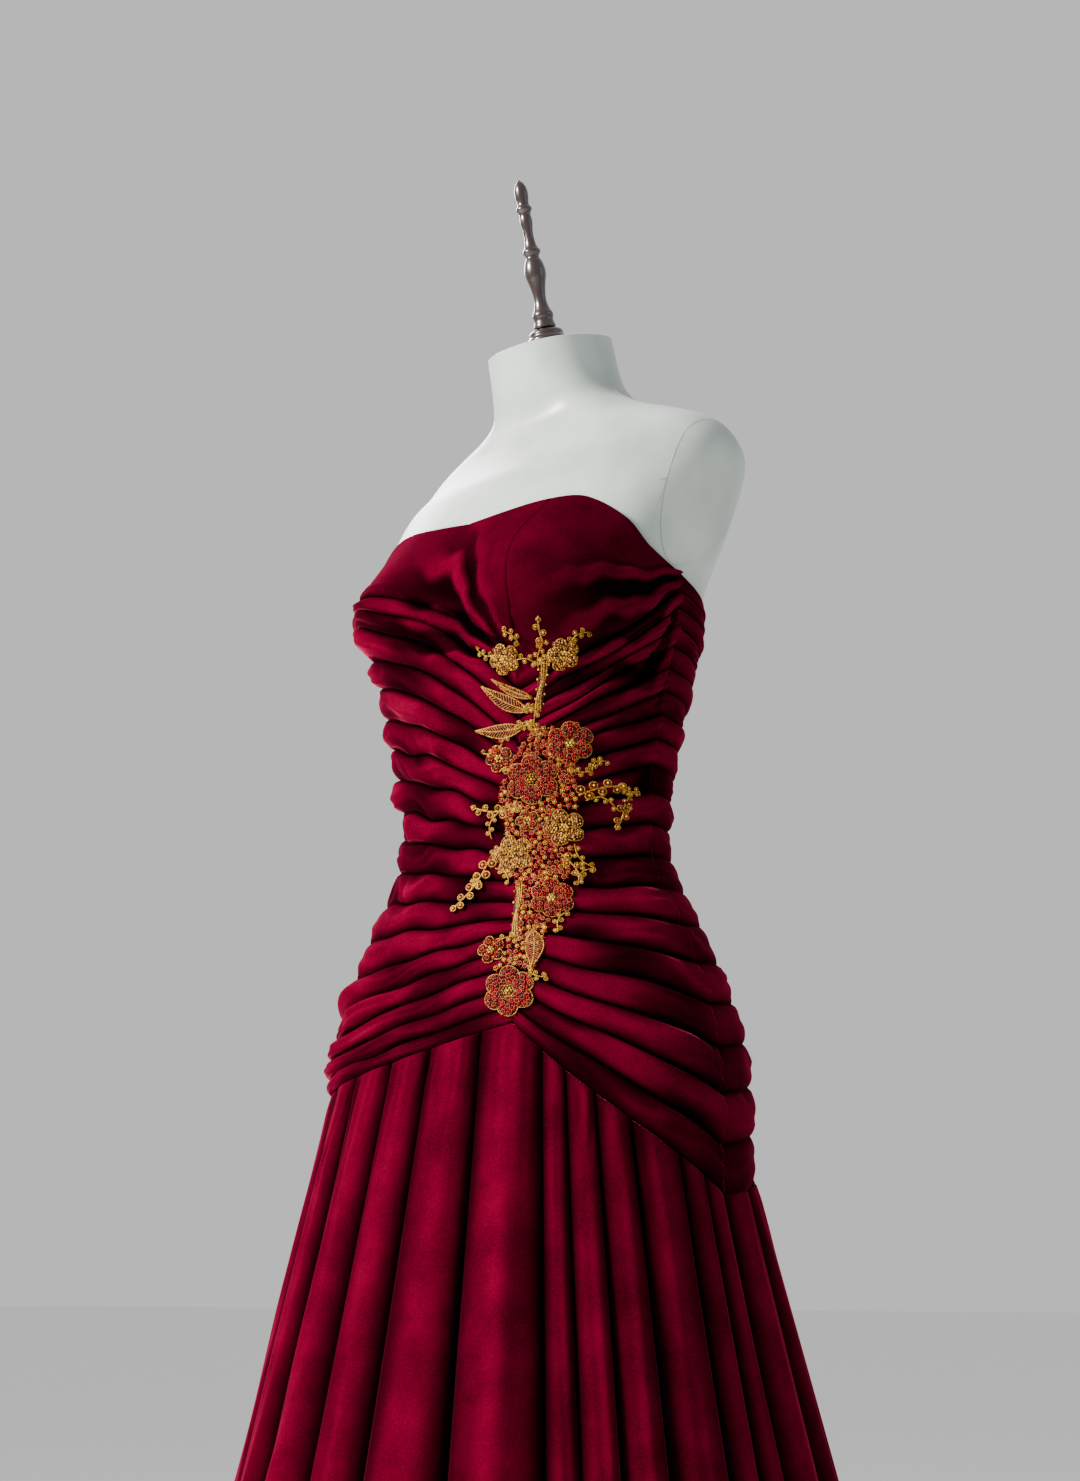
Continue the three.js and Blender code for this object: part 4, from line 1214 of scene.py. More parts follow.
@dataclass
class Skirt:
    """Three velvet gores that hang in deep uneven folds from the bodice's lower edge."""

    figure: Figure
    velvet: bpy.types.Material
    columns_in_fold: int = 22
    levels: int = 76
    flare: float = 0.235
    flare_front: float = 0.03
    top_rise: float = 3.5
    inward: float = 0.4
    growth: float = 0.75
    sway: float = 0.75
    wander: float = 0.10
    second_share: float = 0.10
    gather_rise: float = 1.3
    gather_degrees: float = 4.6
    gather_fade: float = 55.0
    edge_roll: float = 0.9
    front_flat: tuple[float, float] = (1.08, 0.86)
    back_flat: tuple[float, float] = (0.62, 0.82)
    # angle of the valley where each fold starts, and its depth at the hem
    folds: Array = field(default_factory=lambda: np.array([
        (-86, 26), (-73, 30), (-60, 34), (-46, 34), (-28, 20), (-10, 26), (13, 38), (36, 22),
        (43, 28), (51, 26), (60, 34), (72, 22), (79, 24), (86, 28), (99, 32), (111, 24),
        (125, 34), (139, 28), (152, 36), (166, 26), (180, 26), (194, 36), (208, 28), (221, 34),
        (235, 24), (249, 32), (261, 26), (274, 0),
    ], dtype=float))

    def gore(self, start: float, end: float, seed: int) -> Shape:
        """A gore between two angles of the fold table.

        Each fold's depth grows with the share of the way down to the power 0.75. Its section is
        the sine of half a turn to the power 0.55, rounded at the crest and narrow at the valley.

        Args:
            start: Angle of the first valley.
            end: Angle of the last valley.
            seed: Seed of the gore's unevenness.

        Returns:
            The gore as a closed wall.
        """
        figure = self.figure
        table = self.folds[(self.folds[:, 0] >= start) & (self.folds[:, 0] <= end)]
        count = (len(table) - 1) * self.columns_in_fold
        place = np.arange(count + 1) / self.columns_in_fold
        fold = np.minimum(place.astype(int), len(table) - 2)
        part = place - fold
        angle = mix(table[fold, 0], table[fold + 1, 0], part)
        gap = gap_angle(SEAM_GAP / 2)
        angle = np.clip(angle, start + gap, end - gap)[None, :]
        share = (np.linspace(0.0, 1.0, self.levels + 1) ** 1.25)[:, None]
        depth = table[fold, 1][None, :]
        top = figure.foot(angle) - SEAM_GAP
        z = mix(top, HEM_HEIGHT, share)
        drop = top - z
        grown = share ** self.growth
        inside = np.sin(math.pi * (angle - start) / (end - start)) ** 0.5
        sway = self.sway * soft_noise(seed, angle, drop, 40.0, 700.0) * grown * inside
        wander = self.wander * np.sin(math.pi * part) * soft_noise(seed + 1, angle, drop, 15.0, 420.0)
        moved = np.clip(part + wander, 0.0, 1.0)
        profile = np.sin(math.pi * moved) ** 0.55
        own = 0.93 + 0.07 * soft_noise(seed + 2, fold[None, :] * 2.3, drop, 1.9, 500.0)
        shift = 2.0 * part + 0.35 * fold + 0.4 * soft_noise(seed + 3, angle, drop, 30.0, 380.0)
        second = self.second_share * depth * grown * np.sin(math.pi * part) ** 2
        second = second * np.sin(2.0 * math.pi * shift)
        drift = 2.0 * soft_noise(seed + 4, angle, drop, 17.0, 90.0)
        gathers = self.gather_rise * np.sin(2.0 * math.pi * angle / self.gather_degrees + drift)
        small = second + gathers * np.exp(-drop / self.gather_fade) * inside
        flare = self.flare - self.flare_front * np.cos(np.radians(angle))
        swell = mix(self.top_rise, depth, grown) * profile * own - depth * grown * self.inward
        inner = figure.ease + flare * drop + swell + small * smoothstep(drop, -1.0, 12.0)
        radius = figure.radius(angle, top)
        turn = np.radians(angle + sway)

        def ring(out: Array) -> Array:
            """Points of one face of the gore."""
            reach = radius + out
            return np.stack(np.broadcast_arrays(reach * np.sin(turn), -reach * np.cos(turn), z), axis=-1)

        # painted light on the skirt's fold crests and painted shade in its narrow valleys
        crest = np.clip(profile * own, 0.0, 1.0) * np.ones_like(z)
        return cloth_shell(ring(inner + SKIRT_CLOTH), ring(inner), crest, self.edge_roll)

    def dress(self) -> None:
        """Builds the gores of velvet."""
        for node, start, end, flat, seed in (
            ("skirt_front", -SEAM_ANGLE, SEAM_ANGLE, self.front_flat, 51),
            ("skirt_back_left", SEAM_ANGLE, BACK_ANGLE, self.back_flat, 61),
            ("skirt_back_right", BACK_ANGLE, 360.0 - SEAM_ANGLE, self.back_flat, 71),
        ):
            piece = self.gore(start, end, seed).build(f"velvet_{node}", [self.velvet])
            finish(piece, "root", "velvet", node)
            LOG.info("skirt: %s", node)


# The zip at the centre back


@dataclass
class Zip:
    """Closed coil zip with a small slider and a pull tab that swings on the slider's pin."""

    figure: Figure
    tape: bpy.types.Material
    coil: bpy.types.Material
    alloy: bpy.types.Material
    width: float = 5.0
    thickness: float = 1.2
    stand: float = 0.4
    top_margin: float = 4.0
    foot_margin: float = 1.0
    pitch: float = 2.0
    tape_share: float = 0.55  # of the thickness; the coil stands on it
    coil_radius: float = 0.42
    slider_size: tuple[float, float, float] = (7.0, 2.6, 10.0)
    slider_top: float = 8.0
    slider_seat: float = 0.8
    pin: tuple[float, float] = (0.7, 2.4)  # radius and stand off the slider
    pull: tuple[float, float, float] = (3.4, 1.5, 24.0)
    ring: tuple[float, float] = (2.1, 1.05)  # outer and inner radius round the pin

    def strip(self) -> Shape:
        """The tape: a thin band that keeps one distance off the figure down the back.

        Returns:
            The closed band, with rounded edges.
        """
        levels, columns = 90, 7
        top = self.figure.top(BACK_ANGLE) - self.top_margin
        foot = self.figure.foot(BACK_ANGLE) + self.foot_margin
        z = np.linspace(top, foot, levels)[:, None]
        across = np.linspace(self.width / 2, -self.width / 2, columns)[None, :]
        angle = BACK_ANGLE + gap_angle(across, self.figure.radius(np.array(BACK_ANGLE), z))
        out = self.figure.bodice_ease(angle, z) + self.stand
        outer = self.figure.on(angle, z, out + self.thickness * self.tape_share)
        return cloth_shell(outer, self.figure.on(angle, z, out), np.ones((levels, columns)), 0.1)

    def teeth(self) -> Shape:
        """The coil: short cords across the tape by turns, half a pitch apart.

        Returns:
            Two rows of small round teeth that meet on the centre line.
        """
        top = self.figure.top(BACK_ANGLE) - self.top_margin - 2.0
        foot = self.figure.foot(BACK_ANGLE) + self.foot_margin + 2.0
        z = np.arange(foot, top, self.pitch / 2)
        side = alternate(len(z))
        reach = np.array([-0.35, 0.5, 1.25])
        radius = self.figure.radius(np.array(BACK_ANGLE), z)[:, None]
        angle = BACK_ANGLE + gap_angle(side[:, None] * reach, radius)
        tall = np.broadcast_to(z[:, None], angle.shape)
        out = self.figure.bodice_ease(angle, tall) + self.stand + self.thickness * self.tape_share
        out = out + 0.28
        paths = self.figure.on(angle, tall, out)
        away = self.figure.on(angle, tall, out + 1.0) - paths
        return tubes(paths, away, self.coil_radius, 0, closed=False)

    def seat(self) -> Matrix:
        """Where the slider sits: its middle, turned with the back.

        Returns:
            The matrix that takes the slider there.
        """
        z = float(self.figure.top(BACK_ANGLE)) - self.slider_top
        out = self.figure.bodice_ease(BACK_ANGLE, z) + CLOTH + SEAM_GAP
        out = out + self.slider_size[1] / 2 + self.slider_seat
        centre = self.figure.on(np.array(BACK_ANGLE), np.array(z), out)
        turn = -math.radians(float(self.figure.column(5, z)))
        return Matrix.Translation(Vector(centre)) @ Matrix.Rotation(turn, 4, "Z")

    def slider(self) -> Shape:
        """The slider's shield with two lugs and the pin between them.

        Returns:
            The slider in its seat.
        """
        width, depth, height = self.slider_size
        radius, stand = self.pin
        lug_gap = self.pull[0] / 2 + SEAM_GAP
        lug, lug_height = 1.2, 3.2
        parts = [rounded_box((width, depth, height), (0.0, 0.0, 0.0), 0.8)]
        for side in (1.0, -1.0):
            middle = (side * (lug_gap + lug / 2), depth / 2 + stand / 2, 0.0)
            parts.append(rounded_box((lug, stand + 2 * radius, lug_height), middle, 0.3))
        half = lug_gap + lug * 0.7
        path = np.array([[[-half, 0, 0], [0, 0, 0], [half, 0, 0]]], dtype=float)
        path = path + np.array([0.0, depth / 2 + stand, 0.0])
        parts.append(tubes(path, np.broadcast_to([0.0, 1.0, 0.0], path.shape), radius, 0, closed=False))
        return Shape.merge(parts).moved(self.seat())

    def tab(self) -> Shape:
        """The pull tab: a ring round the pin and a flat tongue that widens at its end.

        Returns:
            The tab in its seat, hanging down.
        """
        neck_length = 7.0
        width, thickness, length = self.pull
        outer, inner = self.ring
        y = self.slider_size[1] / 2 + self.pin[1]
        around = turns(28)
        middle, thick = (outer + inner) / 2, (outer - inner) / 2
        back, up = y + middle * np.cos(around), middle * np.sin(around)
        loops = np.stack([
            np.stack([np.full(len(around), x), back, up], axis=-1) for x in (-width / 3, 0.0, width / 3)
        ])
        rings = tubes(loops, np.broadcast_to([1.0, 0.0, 0.0], loops.shape), thick, 0, closed=True)
        neck = rounded_box((width * 0.7, thickness * 0.8, neck_length), (0.0, y, -outer - 2.7), 0.3)
        flat = (width, thickness, length - neck_length)
        tongue = rounded_box(flat, (0.0, y, -length / 2 - 3.6), 0.55)
        return Shape.merge([rings, neck, tongue]).moved(self.seat())

    def dress(self) -> None:
        """Builds the tape, teeth, slider and pull."""
        tape = self.strip().build("zip_tape", [self.tape])
        finish(tape, "root", "zip_tape", "zip_strip")
        teeth = self.teeth().build("zip_coil", [self.coil])
        finish(teeth, "root", "zip_tape")
        slider = self.slider().build("zip_slider_body", [self.alloy], 35.0)
        finish(slider, "root", "zip_metal", "zip_slider")
        tab = self.tab().build("zip_pull_tongue", [self.alloy], 35.0)
        finish(tab, "zip_pull_tab", "zip_metal", "zip_pull")
        LOG.info("zip: tape, coil, slider and pull")


# The embroidered spray


class Work(Enum):
    """How a motif is worked."""

    LEAF = "leaf"
    SPRIG = "sprig"
    STEM = "stem"


class Yarn(IntEnum):
    """Place of each of the spray's materials in its pieces."""

    NET = 0
    RED_BEAD = 1
    PALE_CORD = 2
    GOLD_CORD = 3
    GOLD_BEAD = 4


@dataclass(frozen=True)
class Flower:
    """A beaded blossom of the CAD part, by its middle, size and petals."""

    name: str
    angle: float
    z: float
    radius: float
    petals: int
    gold: bool = False


@dataclass(frozen=True)
class Leaf:
    """A leaf, sprig or stem of the CAD part, by its foot, size and heading in degrees."""

    name: str
    angle: float
    z: float
    length: float
    width: float
    heading: float
    work: Work

    def plane(self, along: Array, off: Array) -> tuple[Array, Array]:
        """Turns distances along the motif and to its left into ones across and up.

        Args:
            along: Millimetres from its foot along its heading.
            off: Millimetres to its left.

        Returns:
            Millimetres across and up from its foot.
        """
        turn = math.radians(self.heading)
        across = along * math.cos(turn) - off * math.sin(turn)
        return across, along * math.sin(turn) + off * math.cos(turn)


FLOWERS = (
    Flower("spray_blossom_left", 21, 1163, 12, 5, True),
    Flower("spray_blossom_right", 44, 1163, 12, 5, True),
    Flower("flower_upper", 48, 1094, 17, 6),
    Flower("bud_left", 16, 1085, 11, 5),
    Flower("flower_middle", 32, 1066, 20, 6),
    Flower("flower_core", 30, 1033, 9, 5),
    Flower("flower_gold_right", 46, 1026, 15, 5, True),
    Flower("flower_gold_left", 23, 1006, 16, 5, True),
    Flower("flower_lower", 40, 968, 16, 6),
    Flower("bud_foot", 16, 928, 11, 5),
    Flower("flower_foot", 24, 894, 20, 6),
)
LEAVES = (
    Leaf("spray_tip", 37, 1172, 20, 8, 100, Work.SPRIG),
    Leaf("spray_stem", 35, 1120, 38, 8, 84, Work.STEM),
    Leaf("leaf_high", 30.5, 1121, 44, 11, 148, Work.LEAF),
    Leaf("leaf_low", 28, 1108, 40, 11, 178, Work.LEAF),
    Leaf("sprig_left", 20, 1042, 32, 10, 168, Work.SPRIG),
    Leaf("curl_right", 52, 1052, 34, 12, 15, Work.SPRIG),
    Leaf("curl_drop", 70, 1050, 26, 10, 255, Work.SPRIG),
    Leaf("twig_right", 45, 1003, 24, 9, 300, Work.SPRIG),
    Leaf("sprig_low", 12, 1004, 50, 12, 235, Work.SPRIG),
    Leaf("stem_low", 27, 982, 46, 8, 268, Work.STEM),
    Leaf("leaf_foot", 33, 942, 30, 13, 268, Work.LEAF),
)
# the slim leaf above leaf_high has no solid of its own, so it joins the small loops
SLIM_LEAF = Leaf("slim_leaf", 32.5, 1131, 37, 6, 151, Work.LEAF)
# angle and height of both ends, and millimetres that the tendril bows to its left
TENDRILS = np.array([
    (35, 1156, 24, 1160, -4), (35, 1156, 41, 1159, 3), (35, 1154, 37, 1173, 2), (18, 1167, 9, 1174, 3),
    (46, 1170, 52, 1180, 3), (28, 1172, 22, 1184, -2), (28, 1121, 34, 1122, 2), (26, 1108, 34, 1108, 2),
    (34, 1121, 36, 1098, -3), (33, 1113, 18, 1098, -4), (18, 1097, 8, 1090, 3), (16, 1074, 24, 1076, 3),
    (67, 1062, 76, 1058, -3), (76, 1058, 72, 1040, -6), (55, 1048, 66, 1044, 5), (12, 1005, 20, 1010, 3),
    (15, 995, 22, 984, 3), (50, 1012, 57, 992, -4), (57, 992, 50, 978, -5), (16, 929, 27, 938, 3),
    (20, 1042, 28, 1042, 2), (47, 1078, 57, 1072, -4), (57, 1072, 62, 1080, 4), (46, 957, 42, 940, -4),
    (12, 1020, 16, 1042, 5), (9, 982, 4, 990, 3), (31, 914, 38, 904, -4), (38, 948, 30, 930, -3),
], dtype=float)


@dataclass
class Spray:
    """Beaded flowers, leaves and cords down the gathering line, on net above the velvet."""

    figure: Figure
    materials: list[bpy.types.Material]  # one for each yarn, in its order
    clearance: float = 0.4
    front_crest: float = 3.2
    side_crest: float = 7.0
    plain_cup: tuple[float, float] = (1184.0, 1192.0)
    bead: float = 0.85
    bead_pitch: float = 2.05
    big_bead: float = 1.0
    small_bead: float = 0.6
    cord: float = 0.55
    ring_cord: float = 0.24
    thread: float = 0.42
    petal_radius: float = 0.40  # shares of a flower's radius
    petal_reach: float = 0.60
    petal_rise: float = 1.3
    petal_points: int = 22
    leaf_rise: float = 0.9
    stem_half: float = 1.9
    # angle, height and half width in millimetres of the band that small loops fill
    filling: Array = field(default_factory=lambda: np.array([
        (41, 1108, 10), (38, 1092, 20), (34, 1070, 27), (34, 1046, 27), (35, 1022, 25),
        (34, 1000, 23), (36, 978, 18), (33, 955, 14), (30, 932, 12), (25, 908, 16), (24, 886, 18),
    ], dtype=float))
    loop_tries: int = 6000
    loop_spacing: float = 3.5
    loop_radii: tuple[float, float] = (1.15, 1.75)
    gold_share: float = 0.45

    def place(self, angle: Array | float, z: Array | float, across: Array, up: Array,
              out: Array | float) -> Array:
        """Point over the velvet, from a motif's own place.

        The ground is the figure with the bodice's ease and wall, the height of the folds, which
        is more beside the spray and none on the plain cup, and a small clearance.

        Args:
            angle: Angle of the motif's own place.
            z: Its height.
            across: Millimetres from there to the wearer's left.
            up: Millimetres upwards.
            out: Millimetres above the ground.

        Returns:
            The points.
        """
        radius = self.figure.radius(np.asarray(angle, dtype=float), np.asarray(z, dtype=float))
        at = angle + np.degrees(across / radius)
        height = z + up
        plain = 1.0 - smoothstep(height, *self.plain_cup)
        crest = mix(self.front_crest, self.side_crest, self.figure.away_from_spray(at))
        crest = crest * self.figure.pressed(at) * plain
        ground = self.figure.bodice_ease(at, height) + CLOTH + crest + self.clearance
        return self.figure.on(at, height, ground + out)

    def cords(self, angle: Array | float, z: Array | float, path: tuple[Array, Array],
              out: Array | float, radius: float, yarn: Yarn, closed: bool) -> Shape:
        """Cords along paths in the plane of a motif's own place.

        Args:
            angle: Angle of that place.
            z: Its height.
            path: Millimetres across and up of each path's points, paths by points.
            out: Millimetres above the ground.
            radius: Radius of the cord.
            yarn: What it is made of.
            closed: Whether each path runs back to its start.

        Returns:
            The cords.
        """
        middle = self.place(angle, z, *path, out)
        away = self.place(angle, z, *path, np.asarray(out) + 1.0) - middle
        return tubes(middle, away, radius, yarn, closed)

    def dome(self, motif: Flower | Leaf, middle: tuple[Array, Array], edge: tuple[Array, Array],
             rise: float) -> Shape:
        """Domed net discs: the square root of 1 less the square of the way out, times the rise.

        Args:
            motif: Motif whose plane they lie in.
            middle: Millimetres across and up of each disc's middle.
            edge: From there to the outline's points, discs by points.
            rise: Height of the dome.

        Returns:
            The discs.
        """
        rings = np.linspace(1.0, 0.12, 5)[None, :, None]
        x, y = (m[:, None, None] + rings * e[:, None, :] for m, e in zip(middle, edge))
        out = np.broadcast_to(0.15 + rise * np.sqrt(1.0 - (rings * 0.985) ** 2), x.shape)
        points = self.place(motif.angle, motif.z, x, y, out)
        many, count, steps = points.shape[:3]
        shift = (np.arange(many) * count * steps)[:, None]
        quads = (grid_faces(count, steps, closed=True)[None] + shift[:, None]).reshape(-1, 4)
        caps = (count - 1) * steps + np.arange(steps) + shift
        return Shape.of(points, [quads, caps], Yarn.NET)

    def beads(self, motif: Flower | Leaf, path: tuple[Array, Array], out: Array | float,
              radius: Array | float, yarn: Yarn) -> Shape:
        """Beads in a motif's plane.

        Args:
            motif: The motif.
            path: Millimetres across and up of each bead.
            out: Millimetres of its middle above the ground.
            radius: Its radius.
            yarn: What it is made of.

        Returns:
            The beads.
        """
        return spheres(self.place(motif.angle, motif.z, *path, out), radius, yarn)

    def packed(self, lobe: float) -> tuple[Array, Array, Array]:
        """Beads packed in a petal: a staggered grid whose rows are the root of 3/4 of a pitch apart.

        Args:
            lobe: Radius of the petal.

        Returns:
            Places across and up, and which beads get a ring of cord.
        """
        side = int(2 * lobe / self.bead_pitch) + 2
        column, row = np.meshgrid(np.arange(-side, side + 1), np.arange(-side, side + 1))
        x = (column + 0.5 * (row % 2)) * self.bead_pitch
        y = row * self.bead_pitch * math.sqrt(0.75)
        within = np.hypot(x, y) < lobe - 0.7
        ringed = ((column - row // 2) % 3 == 0) & (row % 2 == 0)
        return x[within], y[within], ringed[within]

    def blossom(self, flower: Flower) -> Shape:
        """A blossom of round petals: net, packed beads, a gold outline each and a gold middle.

        A petal's outline is a circle that waves three times, by a twentieth of its radius.

        Args:
            flower: The blossom.

        Returns:
            The blossom.
        """
        lobe, reach = self.petal_radius * flower.radius, self.petal_reach * flower.radius
        facing = turns(flower.petals, 0.5)
        centre = (reach * np.cos(facing), reach * np.sin(facing))
        around = turns(self.petal_points)
        ragged = lobe * (1.0 + 0.05 * np.sin(3.0 * around + facing[:, None] * 5.0))
        edge = (ragged * np.cos(around), ragged * np.sin(around))
        petals = self.dome(flower, centre, edge, self.petal_rise)
        x, y, ringed = self.packed(lobe)
        rng = np.random.default_rng(int(flower.z) + flower.petals)
        shift = rng.normal(0.0, 0.25, (2, flower.petals, len(x)))
        cos, sin = np.cos(facing)[:, None], np.sin(facing)[:, None]
        across = centre[0][:, None] + x * cos - y * sin + shift[0]
        up = centre[1][:, None] + x * sin + y * cos + shift[1]
        lift = 0.7 + self.petal_rise * np.sqrt(np.clip(1.0 - (np.hypot(x, y) / lobe) ** 2, 0.0, 1.0))
        size = self.bead * rng.uniform(0.8, 1.15, across.size)
        glass = Yarn.GOLD_BEAD if flower.gold else Yarn.RED_BEAD
        sown = self.beads(flower, (across, up), lift, size, glass)
        loop, wide = turns(12), self.bead_pitch * 0.78
        ring = (
            across[:, ringed].reshape(-1, 1) + wide * np.cos(loop),
            up[:, ringed].reshape(-1, 1) + wide * np.sin(loop),
        )
        ring_out = np.tile(lift[ringed], flower.petals)[:, None] + 0.5
        worked = self.cords(flower.angle, flower.z, ring, ring_out, self.ring_cord, Yarn.PALE_CORD, True)
        outline = (centre[0][:, None] + edge[0], centre[1][:, None] + edge[1])
        gold = self.cords(flower.angle, flower.z, outline, 0.75, 0.8 * self.cord, Yarn.GOLD_CORD, True)
        heart = turns(6)
        heart_places = (np.append(2.3 * np.cos(heart), 0.0), np.append(2.3 * np.sin(heart), 0.0))
        heart_out = np.append(np.full(6, 1.6), 2.4)
        middle = self.beads(flower, heart_places, heart_out, 1.15, Yarn.GOLD_BEAD)
        return Shape.merge([petals, sown, worked, gold, middle])

    def leaf(self, leaf: Leaf) -> Shape:
        """A leaf: a net ground, a gold outline and vein, slanted threads and a few beads.

        Its half width is the sine of half a turn times the share of its length to the power
        0.75, to the power 1.15, and its vein bows by a twentieth of the length.

        Args:
            leaf: The leaf.

        Returns:
            The leaf.
        """
        at = (leaf.angle, leaf.z)
        s = np.linspace(0.0, 1.0, 15)
        bend = 0.05 * leaf.length * np.sin(math.pi * s)
        half = leaf.width / 2 * (0.06 + 0.94 * np.sin(math.pi * s ** 0.75) ** 1.15)

        def plane(along: Array, off: Array) -> tuple[Array, Array]:
            """Plane place from the share of the leaf's length and the distance off its vein."""
            return leaf.plane(along * leaf.length, off + np.interp(along, s, bend))

        edge = plane(np.concatenate([s, s[::-1]]), np.concatenate([half, -half[::-1]]))
        centre = plane(np.array([0.5]), np.array([0.0]))
        reach = tuple((e - c)[None] for e, c in zip(edge, centre))
        ground = self.dome(leaf, centre, reach, self.leaf_rise)
        outline = tuple(e[None] for e in edge)
        rim = self.cords(*at, outline, 0.7, self.cord * 1.1, Yarn.GOLD_CORD, True)
        vein_path = tuple(v[None] for v in plane(s, np.zeros_like(s)))
        vein = self.cords(*at, vein_path, 1.5, self.cord * 1.2, Yarn.GOLD_CORD, False)
        starts = np.arange(0.08, 0.86, 0.055)
        span = np.linspace(0.0, 0.92, 5)
        along = starts[None, :, None] + 0.09 * span
        off = np.array([1.0, -1.0])[:, None, None] * span * np.interp(along, s, half)
        slanted = tuple(t.reshape(-1, len(span)) for t in plane(along, off))
        threads = self.cords(*at, slanted, 1.35 - 0.6 * span ** 2, self.thread, Yarn.PALE_CORD, False)
        spot = np.arange(0.2, 0.8, 0.12)
        beside = -0.25 * leaf.width * alternate(len(spot))
        seeds = self.beads(leaf, plane(spot, beside), 1.7, self.bead, Yarn.RED_BEAD)
        return Shape.merge([ground, rim, vein, threads, seeds])

    def sprig(self, leaf: Leaf) -> Shape:
        """A sprig: a gold cord with small outlined loops to both sides, each round a bead.

        The cord bows by the sine of half a turn, and the loops shrink towards its tip.

        Args:
            leaf: The sprig.

        Returns:
            The sprig.
        """
        at = (leaf.angle, leaf.z)
        s = np.linspace(0.0, 1.0, 13)
        bow = 0.07 * leaf.length * np.sin(math.pi * s)
        path = tuple(p[None] for p in leaf.plane(s * leaf.length, bow))
        stalk = self.cords(*at, path, 0.8, self.cord * 1.3, Yarn.GOLD_CORD, False)
        count = max(4, int(leaf.length / 4.6))
        spot = (np.arange(count) + 0.5) / count
        loop = leaf.width * 0.24 * (1.1 - 0.35 * spot)
        off = alternate(count) * (loop + 0.5)
        off[-1] = 0.0
        middle = leaf.plane(spot * leaf.length, np.interp(spot, s, bow) + off)
        around = turns(16)
        edge = (loop[:, None] * np.cos(around), loop[:, None] * np.sin(around))
        pads = self.dome(leaf, middle, edge, 1.0)
        outline = (middle[0][:, None] + edge[0], middle[1][:, None] + edge[1])
        rings = self.cords(*at, outline, 0.8, self.cord, Yarn.GOLD_CORD, True)
        core = self.beads(leaf, middle, 1.5, self.big_bead, Yarn.GOLD_BEAD)
        four = turns(4)
        small_places = (
            middle[0][:, None] + 0.5 * loop[:, None] * np.cos(four),
            middle[1][:, None] + 0.5 * loop[:, None] * np.sin(four),
        )
        small = self.beads(leaf, small_places, 1.2, self.small_bead, Yarn.RED_BEAD)
        return Shape.merge([stalk, pads, rings, core, small])

    def stem(self, leaf: Leaf) -> Shape:
        """A stem: three gold cords side by side, bound across, with beads beside them.

        The outer cords part by the cosine of half a turn and all sway by the sine of one turn.

        Args:
            leaf: The stem.

        Returns:
            The stem.
        """
        at = (leaf.angle, leaf.z)
        s = np.linspace(0.0, 1.0, 19)
        strand = np.array([-1.0, 0.0, 1.0])[:, None]
        off = strand * (0.6 + 1.1 * np.abs(np.cos(math.pi * s))) + 0.8 * np.sin(2.0 * math.pi * s)
        out = np.broadcast_to(0.9 + 0.5 * (1.0 - np.abs(strand)), off.shape)
        cords = self.cords(*at, leaf.plane(s * leaf.length, off), out, 0.8, Yarn.GOLD_CORD, False)
        spot = np.arange(0.06, 0.97, 0.1)
        reach = np.linspace(-self.stem_half, self.stem_half, 5)
        bound = leaf.plane(spot[:, None] * leaf.length + 0.8 * reach, reach)
        ties = self.cords(*at, bound, 2.1 - 0.35 * reach ** 2, 0.4, Yarn.PALE_CORD, False)
        beside = leaf.plane(spot * leaf.length, 3.2 * alternate(len(spot)))
        side = self.beads(leaf, beside, 0.9, self.big_bead, Yarn.GOLD_BEAD)
        around = turns(20)
        middle = leaf.plane(np.array([0.5 * leaf.length]), np.array([0.0]))
        oval = leaf.plane(0.5 * leaf.length * np.cos(around), 0.38 * leaf.width * np.sin(around))
        ground = self.dome(leaf, middle, tuple(o[None] for o in oval), 0.5)
        return Shape.merge([ground, cords, ties, side])

    def tendrils(self) -> Shape:
        """Gold cords that tie the motifs together, each with small loops and beads beside it.

        A tendril is a straight line that bows to its left by the sine of half a turn.

        Returns:
            The tendrils.
        """
        s = np.linspace(0.0, 1.0, 13)
        start_angle, start_z, end_angle, end_z, bow = (TENDRILS[:, k:k + 1] for k in range(5))
        angle, height = mix(start_angle, end_angle, s), mix(start_z, end_z, s)
        run = np.radians(end_angle - start_angle) * self.figure.radius(angle, height)
        lift = np.broadcast_to(end_z - start_z, run.shape)
        length = np.hypot(run, lift)
        off = bow * np.sin(math.pi * s)
        across, up = -off * lift / length, off * run / length
        cords = self.cords(angle, height, (across, up), 1.0, self.cord, Yarn.GOLD_CORD, False)
        spot = np.arange(2, 13, 2)
        loop = 1.5
        beside = alternate(len(spot)) * (loop + 0.6)
        middle_x = across[:, spot] - beside * (lift / length)[:, spot]
        middle_y = up[:, spot] + beside * (run / length)[:, spot]
        around = turns(12)
        ring = (
            middle_x.reshape(-1, 1) + loop * np.cos(around),
            middle_y.reshape(-1, 1) + loop * np.sin(around),
        )
        at = (angle[:, spot], height[:, spot])
        rings = self.cords(
            at[0].reshape(-1, 1), at[1].reshape(-1, 1), ring, 0.8, 0.4, Yarn.GOLD_CORD, True
        )
        seeds = spheres(self.place(*at, middle_x, middle_y, 0.9), 0.9, Yarn.GOLD_BEAD)
        return Shape.merge([cords, rings, seeds])

